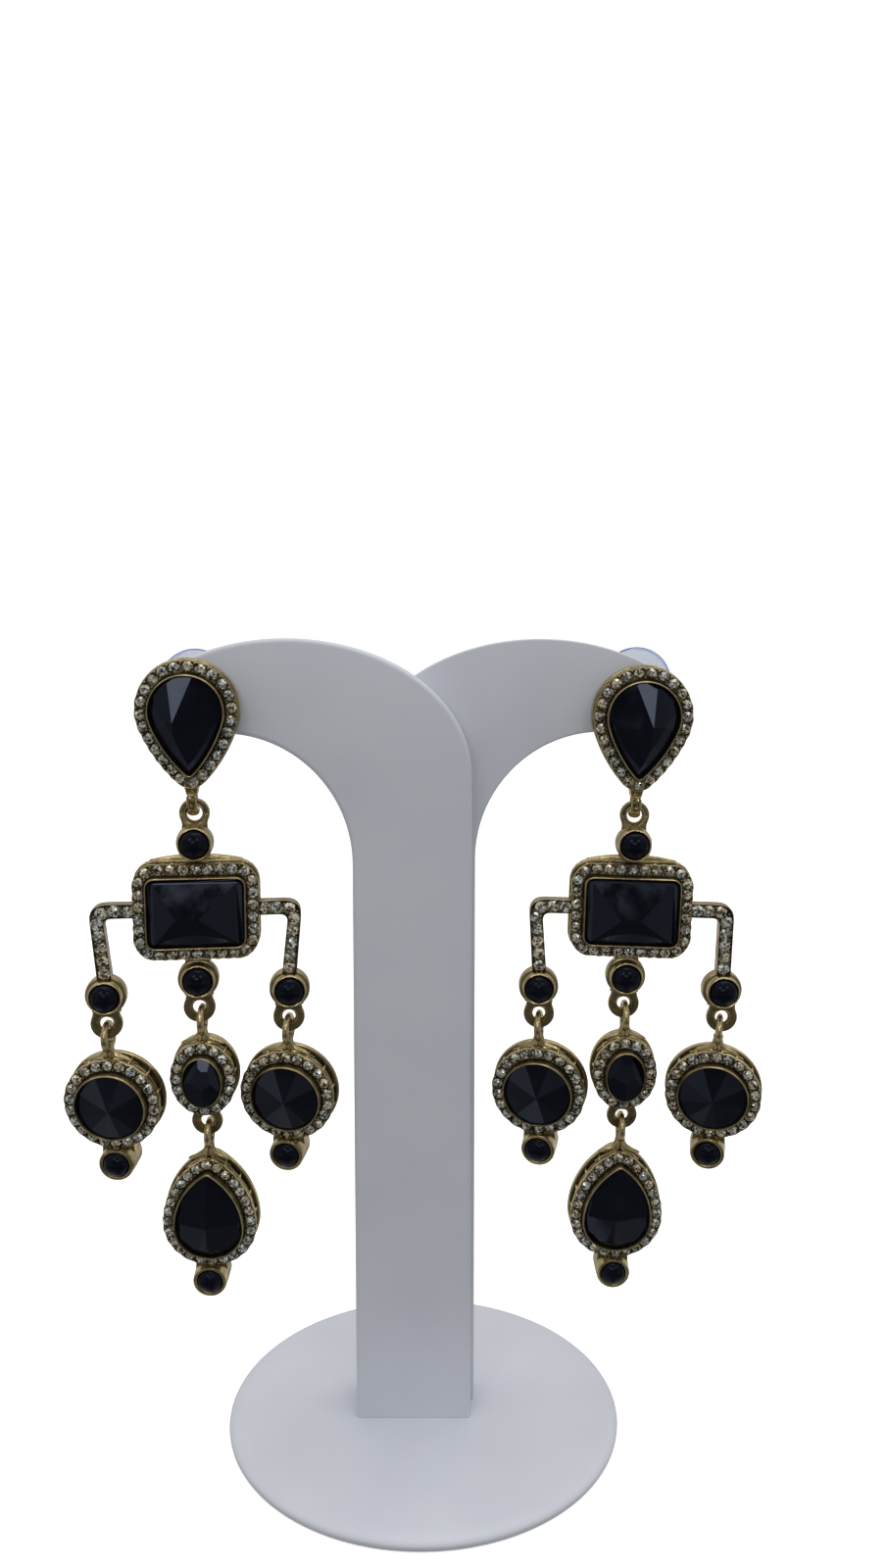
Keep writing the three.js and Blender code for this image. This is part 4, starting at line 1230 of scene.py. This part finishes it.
for number, side in enumerate(SIDES):
    body = f"{side}_main"
    middle, backwards = back_face(f"{side}_frame_stone")
    place = set_at(HINGES[body] + backwards * LINK_LIFT * MM, backwards, HINGES[body] - middle)
    cups = {spot: middle_of(place, f"{side}_frame_cabochon_{spot}") for spot in FLANGE}
    parts = main_casting_parts(side, place, cups)
    border = band_line(RECTANGLE, BAND_MIDDLE, STONE_LEVEL, 0, 0, FRAME_STONE)
    rows = [(border, True, stone_count(RECTANGLE), RHINESTONE_SIZE)]
    for x, z in (cups["outer"], cups["inner"]):
        way = 1 if x > 0 else -1
        parts.append(pave_arm(way, x, z))
        line = arm_line(way, x, z)
        length = sum(math.dist(p, q) for p, q in zip(line, line[1:]))
        rows.append((line, False, round(length / ARM_STONE_PITCH) + 1, ARM_RHINESTONE_SIZE))
    stones, metal = [], [shell_mesh("casting", parts, GOLD)]
    for seed, (line, closed, count, size) in enumerate(rows, 31 + 7 * number):
        glass, beads = stones_and_beads(line, closed, count, seed, size)
        stones.append(glass)
        metal.append(beads)
    metal.append(posts_round(RECTANGLE, SETTING_BACK, 0, 0, FRAME_STONE))
    finish_piece(f"{side}_main_casting", metal, place, body, "antique_gold", f"{side}_frame")
    finish_piece(f"{side}_main_rhinestones", stones, place, body, None)
    cut = moved(rectangle_stone(RECTANGLE_RIDGE[side]), 0, 0, FRAME_STONE)
    rectangle = shell_mesh("rectangle", [cut], BLACK_GLASS, crease=4)
    finish_piece(f"{side}_main_black_rectangle", [rectangle], place, body,
                 "black_glass", f"{side}_frame_stone")
    domes = shell_mesh("domes", [dome(x, z, top=3.0) for x, z in cups.values()], CABOCHON_GLASS)
    finish_piece(f"{side}_main_cabochons", [domes], place, body, "black_glass",
                 *[f"{side}_frame_cabochon_{spot}" for spot in cups])

# ------------------------------------------------------------------ drops
# Three castings hang from each main casting: a round drop on each arm, and in the middle an oval
# link that carries a pear-shaped drop. Each has a wire loop with a ridged neck that splits into two
# straps over the gallery, and each drop ends in a small cup with a cabochon.

LOOP_LIFT = 0.3
LOOP_RADIUS = 1.85
LOOP_STEPS = 28
ROUND_STONE = 4.95
OVAL_HALF_WIDTH = 2.68
OVAL_HALF_HEIGHT = 3.7
PEAR_LOBE = 4.95
PEAR_POINT = 9
STRAP_LENGTH = 4.2
STRAP_SPREAD = 2.0
RIM_BELOW_PIVOT = 4.5
DROP_CUP_BELOW = 9.25
OVAL_LUG_BELOW = 7.65
PEAR_NECK_LONGER = 0.6
TALL_CUP_ROWS = [
    (-0.15, 1.0, 1), (-0.15, 3.0, 0.9), (-0.1, 3.22, 0.3), (0.02, 3.3, 0), (0.22, 3.3, 0), (0.38, 3.22, 0),
    (0.46, 3.0, 0.05), (0.5, 2.2, 0.2), (0.53, 1.5, 0.25), (0.55, 0.8, 0.2), (0.55, -0.9, 0.15),
    (0.5, -1.12, 0.05), (0.38, -1.2, 0.15),
]
ROUND = arc(0, 0, ROUND_STONE, 90, 450)[:-1]
OVAL = ellipse(0, 0, OVAL_HALF_WIDTH, OVAL_HALF_HEIGHT, 90, 450, 72)[:-1]
PEAR = pear_points(PEAR_LOBE, PEAR_POINT, tip=0.5, waist=0, up=True)


def loop_and_neck(points, stone_z, longer):
    """The wire loop, the ridged neck below it, and the two straps that it splits into."""
    turns = [2 * math.pi * k / LOOP_STEPS for k in range(LOOP_STEPS)]
    swell = [0.2 * max(0, math.sin(t)) ** 4 for t in turns]
    circle, wire = [], []
    for turn, more in zip(turns, swell):
        radius = LOOP_RADIUS + more
        circle.append((0, radius * math.cos(turn), radius * math.sin(turn) - LOOP_RADIUS))
        wire.append((0.5 - 0.3 * more, 0.4 + 0.55 * more))
    parts = [tube(circle, wire, (1, 0, 0), closed=True, sides=14)]
    fill = arc(0, -LOOP_RADIUS, 1.6, 178, 362, 0.5) + arc(0, 0, 2.4, 318, 222, 0.5)
    filling, faces, dark = slab(fill, front=0.4, back=-0.4, dark=0.5)
    parts.append(([(y, x, z) for x, y, z in filling], faces, dark))
    neck = [(0, -0.2, -2.5), (0, -0.25, -3.2), (0, -0.3, -3.7 - longer * 0.6), (0, -0.3, -4.15 - longer),
            (0, -0.35, -4.5 - longer), (0, -0.4, -4.85 - longer), (0, -0.4, -5.3 - longer)]
    widening = [(0.75, 0.42), (0.72, 0.5), (0.85, 0.55), (1.25, 0.55), (1.9, 0.55), (2.8, 0.5), (3.3, 0.4)]
    parts.append(tube(neck, widening, (1, 0, 0), sides=16))
    outline = traced(filled(points))
    count = len(outline)
    reach = round(STRAP_LENGTH / OUTLINE_STEP)
    for way in (-1, 1):
        ridge = [(way * 0.24, -0.66, -3.7), (way * 0.26, -0.8, -4.4), (way * 0.4, -0.95, -5.1 - longer / 2)]
        sizes = [(0.2, 0.2)] * len(ridge)
        for k in range(2, reach):
            x, z, nx, nz, _ = outline[(-way * k) % count]
            fall = k / reach
            y = LOOP_LIFT - (1.35 - 0.9 * fall)
            ridge.append((x + STRAP_SPREAD * nx, y, stone_z + z + STRAP_SPREAD * nz))
            sizes.append((0.24 - 0.1 * fall, 0.24 - 0.1 * fall))
        parts.append(tube(ridge, sizes, (0, 1, 0), sides=8))
    return parts


def hang_drop(name, points, stone_z, cut, seed, body, longer=0, cup_below=0, lug_below=0):
    """Builds one hanging casting with its stones, and fits its pieces on its body."""
    middle, backwards = back_face(f"{name}_stone")
    place = set_at(HINGES[body], backwards, HINGES[body] - middle)
    parts = loop_and_neck(points, stone_z, longer)
    hung = [moved(setting(points, SETTING_BACK), 0, 0, stone_z)]
    if cup_below:
        cup_z = stone_z - cup_below
        hung.append(cup(0, cup_z, TALL_CUP_ROWS))
        hung.append(web((0, cup_z + 3.2), (0, cup_z), (2.3, 2.55), front=1.5, back=-1.15))
    if lug_below:
        hung += pierced(0, stone_z - lug_below, 1, LUG)
    parts += [moved(part, 0, LOOP_LIFT) for part in hung]
    line = band_line(points, BAND_MIDDLE, STONE_LEVEL, 0, LOOP_LIFT, stone_z)
    glass, beads = stones_and_beads(line, True, stone_count(points), seed)
    posts = posts_round(points, SETTING_BACK, 0, LOOP_LIFT, stone_z)
    casting = shell_mesh("casting", parts, GOLD)
    finish_piece(f"{name}_casting", [casting, beads, posts], place, body, "antique_gold", name)
    finish_piece(f"{name}_rhinestones", [glass], place, body, None)
    stone = shell_mesh("stone", [moved(ground(points, cut), 0, LOOP_LIFT, stone_z)], BLACK_GLASS, flat=True)
    finish_piece(f"{name}_black_stone", [stone], place, body, "black_glass", f"{name}_stone")
    if cup_below:
        bead = moved(dome(0, cup_z, top=3.3, radius=1.9, lift=1.1), 0, LOOP_LIFT)
        bead = shell_mesh("dome", [bead], CABOCHON_GLASS)
        finish_piece(f"{name}_cabochon", [bead], place, body, "black_glass", f"{name}_cabochon")


ROUND_Z = -(RIM_BELOW_PIVOT + ROUND_STONE + RIM_EDGE)
OVAL_Z = -(RIM_BELOW_PIVOT + OVAL_HALF_HEIGHT + RIM_EDGE)
PEAR_Z = -(RIM_BELOW_PIVOT + PEAR_NECK_LONGER + PEAR_POINT + RIM_EDGE)


def spread_falls(count, low, high, turned=0.5):
    """Falls in directions spread evenly all round, from low at the bottom to high at the top."""
    falls = []
    for k in range(count):
        turn = 2 * math.pi * (k + turned) / count
        fall = low + (high - low) * (1 + math.sin(turn)) / 2
        falls.append((fall * math.cos(turn), fall * math.sin(turn)))
    return falls


ROUND_CUT = fan((0, -0.3, 3.95), spread_falls(10, low=0.19, high=0.29))
OVAL_CUT = fan((0, -0.9, 3.75), spread_falls(8, low=0.08, high=0.27)) + [
    (0.3, 2.0, 2.97, 0.1, 0.44), (1.0, 2.3, 2.77, 0.5, 0.35), (-0.5, 2.2, 2.96, -0.35, 0.4),
]
PEAR_CUT = fan((-0.3, 0.4, 3.95), [
    (0.19, 0.08), (0.14, 0.16), (-0.14, 0.16), (-0.19, 0.08), (-0.2, -0.06), (-0.07, -0.1), (0.08, -0.1),
    (0.2, -0.06),
]) + girdle_facets(PEAR, count=12, steepness=0.55)
for number, side in enumerate(SIDES):
    for seed, spot in enumerate(("outer", "inner"), 51 + 9 * number):
        hang_drop(f"{side}_{spot}_drop", ROUND, ROUND_Z, ROUND_CUT, seed, f"{side}_{spot}",
                  cup_below=DROP_CUP_BELOW)
    hang_drop(f"{side}_oval_link", OVAL, OVAL_Z, OVAL_CUT, 71 + number, f"{side}_oval",
              lug_below=OVAL_LUG_BELOW)
    hang_drop(f"{side}_pear_drop", PEAR, PEAR_Z, PEAR_CUT, 81 + number, f"{side}_pear",
              longer=PEAR_NECK_LONGER, cup_below=DROP_CUP_BELOW)
bpy.data.objects.remove(CHATON)

# ------------------------------------------------------------------ floor, light and camera
# A plain white table runs out to the horizon. Soft panels light it from above, from the front left
# and right and through a low window, and the black glass mirrors the pale walls and benches of a
# studio that is dark behind the camera. Sizes and places from here on are in metres.


def table_white():
    """Matt white board: even and pale, with a faint paper tooth."""
    material, tree = new_material("matt white board")
    [tooth] = patterns(tree, (2, 2))
    colour = add_node(tree, "ShaderNodeMix", {
        "Factor": tooth, "A": linear("#f4f4f4"), "B": linear("#fafafa"),
    }, data_type="RGBA")
    return surfaced(material, tree, {
        "Base Color": colour, "Roughness": 0.9, "Specular IOR Level": 0.1,
        "Emission Color": linear("#ffffff"), "Emission Strength": 0.5,
    })


TABLE_RADIUS = 30
table = new_object("table", bpy.data.meshes.new("table"))
table_rim = [(x, y, 0) for x, y in arc(0, 0, TABLE_RADIUS, 0, 360, 3.1)[:-1]]
table.data.from_pydata(table_rim, [], [tuple(range(len(table_rim)))])
table.data.materials.append(table_white())
table.visible_glossy = False
table.visible_diffuse = False

world = bpy.data.worlds.new("studio")
bpy.context.scene.world = world
world.use_nodes = True
studio = world.node_tree
studio.nodes.clear()
direction = add_node(studio, "ShaderNodeTexCoord").outputs["Generated"]
parts_of = add_node(studio, "ShaderNodeSeparateXYZ", {"Vector": direction})
away, up = parts_of.outputs["Y"], parts_of.outputs["Z"]
aside = add_node(studio, "ShaderNodeMath", {0: parts_of.outputs["X"]}, operation="ABSOLUTE")
# For each thing in the room: which way it spreads, from where to where, and from how bright to how
# bright.
ROOM = {
    "backdrop": (away, -0.8, 0.5, 0.06, 0.4),
    "below the table": (up, -0.95, -0.6, 1, 0),
    "sides of the table": (aside, 0.08, 0.35, 0.02, 0.45),
    "near walls": (aside, 0.36, 0.6, 0, 0.32),
    "far walls": (aside, 0.7, 0.95, 1, 0.35),
    "skirting": (up, -0.55, -0.3, 0, 1),
}
lit = {}
for name, (way, start, stop, first, last) in ROOM.items():
    lit[name] = add_node(studio, "ShaderNodeMapRange", {
        "Value": way, "From Min": start, "From Max": stop, "To Min": first, "To Max": last,
    }, interpolation_type="SMOOTHSTEP")
height = add_node(studio, "ShaderNodeMath", {0: up, 1: 1}, operation="ADD")
half_height = add_node(studio, "ShaderNodeMath", {0: height, 1: 0.5}, operation="MULTIPLY")
benches = add_node(studio, "ShaderNodeValToRGB", {"Fac": half_height})
BENCHES = (
    (0, 0.03), (0.22, 0.03), (0.29, 0.02), (0.33, 0.02), (0.37, 0.2), (0.41, 0.2), (0.46, 0.02), (0.53, 0),
    (0.95, 0.4),
)
set_stops(benches.color_ramp, [(place, (value, value, value, 1)) for place, value in BENCHES])
walls = add_node(studio, "ShaderNodeMath", {
    0: lit["near walls"], 1: lit["far walls"],
}, operation="MULTIPLY")
walls = add_node(studio, "ShaderNodeMath", {0: walls, 1: lit["skirting"]}, operation="MULTIPLY")
glow = add_node(studio, "ShaderNodeMath", {
    0: lit["below the table"], 1: lit["sides of the table"],
}, operation="MULTIPLY")
room = lit["backdrop"]
for more in (benches, walls, glow):
    room = add_node(studio, "ShaderNodeMath", {0: room, 1: more}, operation="ADD")
# Seen straight on or through clear plastic, the room is a plain white backdrop instead.
BACKDROP_BRIGHTNESS = 1.1
ray = add_node(studio, "ShaderNodeLightPath").outputs
direct = add_node(studio, "ShaderNodeMath", {0: ray["Is Camera Ray"], 1: ray["Is Transmission Ray"]},
                  operation="MAXIMUM")
strength = add_node(studio, "ShaderNodeMix", {
    "Factor": direct, "A": room, "B": BACKDROP_BRIGHTNESS,
}, data_type="FLOAT")
sky = add_node(studio, "ShaderNodeBackground", {"Color": (1, 1, 1, 1), "Strength": strength})
add_node(studio, "ShaderNodeOutputWorld", {"Surface": sky})

EARRINGS_MIDDLE = (0, 0, 0.08)


def panel(name, width, height, place, brightness):
    """A soft light that faces the earrings. Brightness is what it looks like, 1 being white."""
    light = bpy.data.lights.new(name, "AREA")
    light.shape = "RECTANGLE"
    light.size = width
    light.size_y = height
    light.energy = brightness * math.pi * width * height
    lamp = new_object(name, light)
    lamp.location = place
    lamp.rotation_euler = (Vector(EARRINGS_MIDDLE) - Vector(place)).to_track_quat("-Z", "Y").to_euler()


panel("overhead", 0.9, 0.7, (0.1, -0.1, 1.1), brightness=2.1)
panel("left_panel", 0.22, 0.22, (-0.3, -0.75, 0.5), brightness=4)
panel("right_panel", 0.22, 0.22, (0.35, -0.75, 0.5), brightness=3.5)
panel("window", 0.36, 0.2, (-0.03, -0.95, 0.27), brightness=2.9)

camera = new_object("camera", bpy.data.cameras.new("camera"))
camera.data.lens = 27.045
camera.data.sensor_width = 36
camera.data.clip_start = 0.01
camera.data.clip_end = 100
camera.location = (0.0028, -0.1715, 0.1152)
camera.rotation_euler = (math.radians(84.1), 0, 0)
bpy.context.scene.camera = camera
bpy.context.scene.view_settings.view_transform = "Standard"
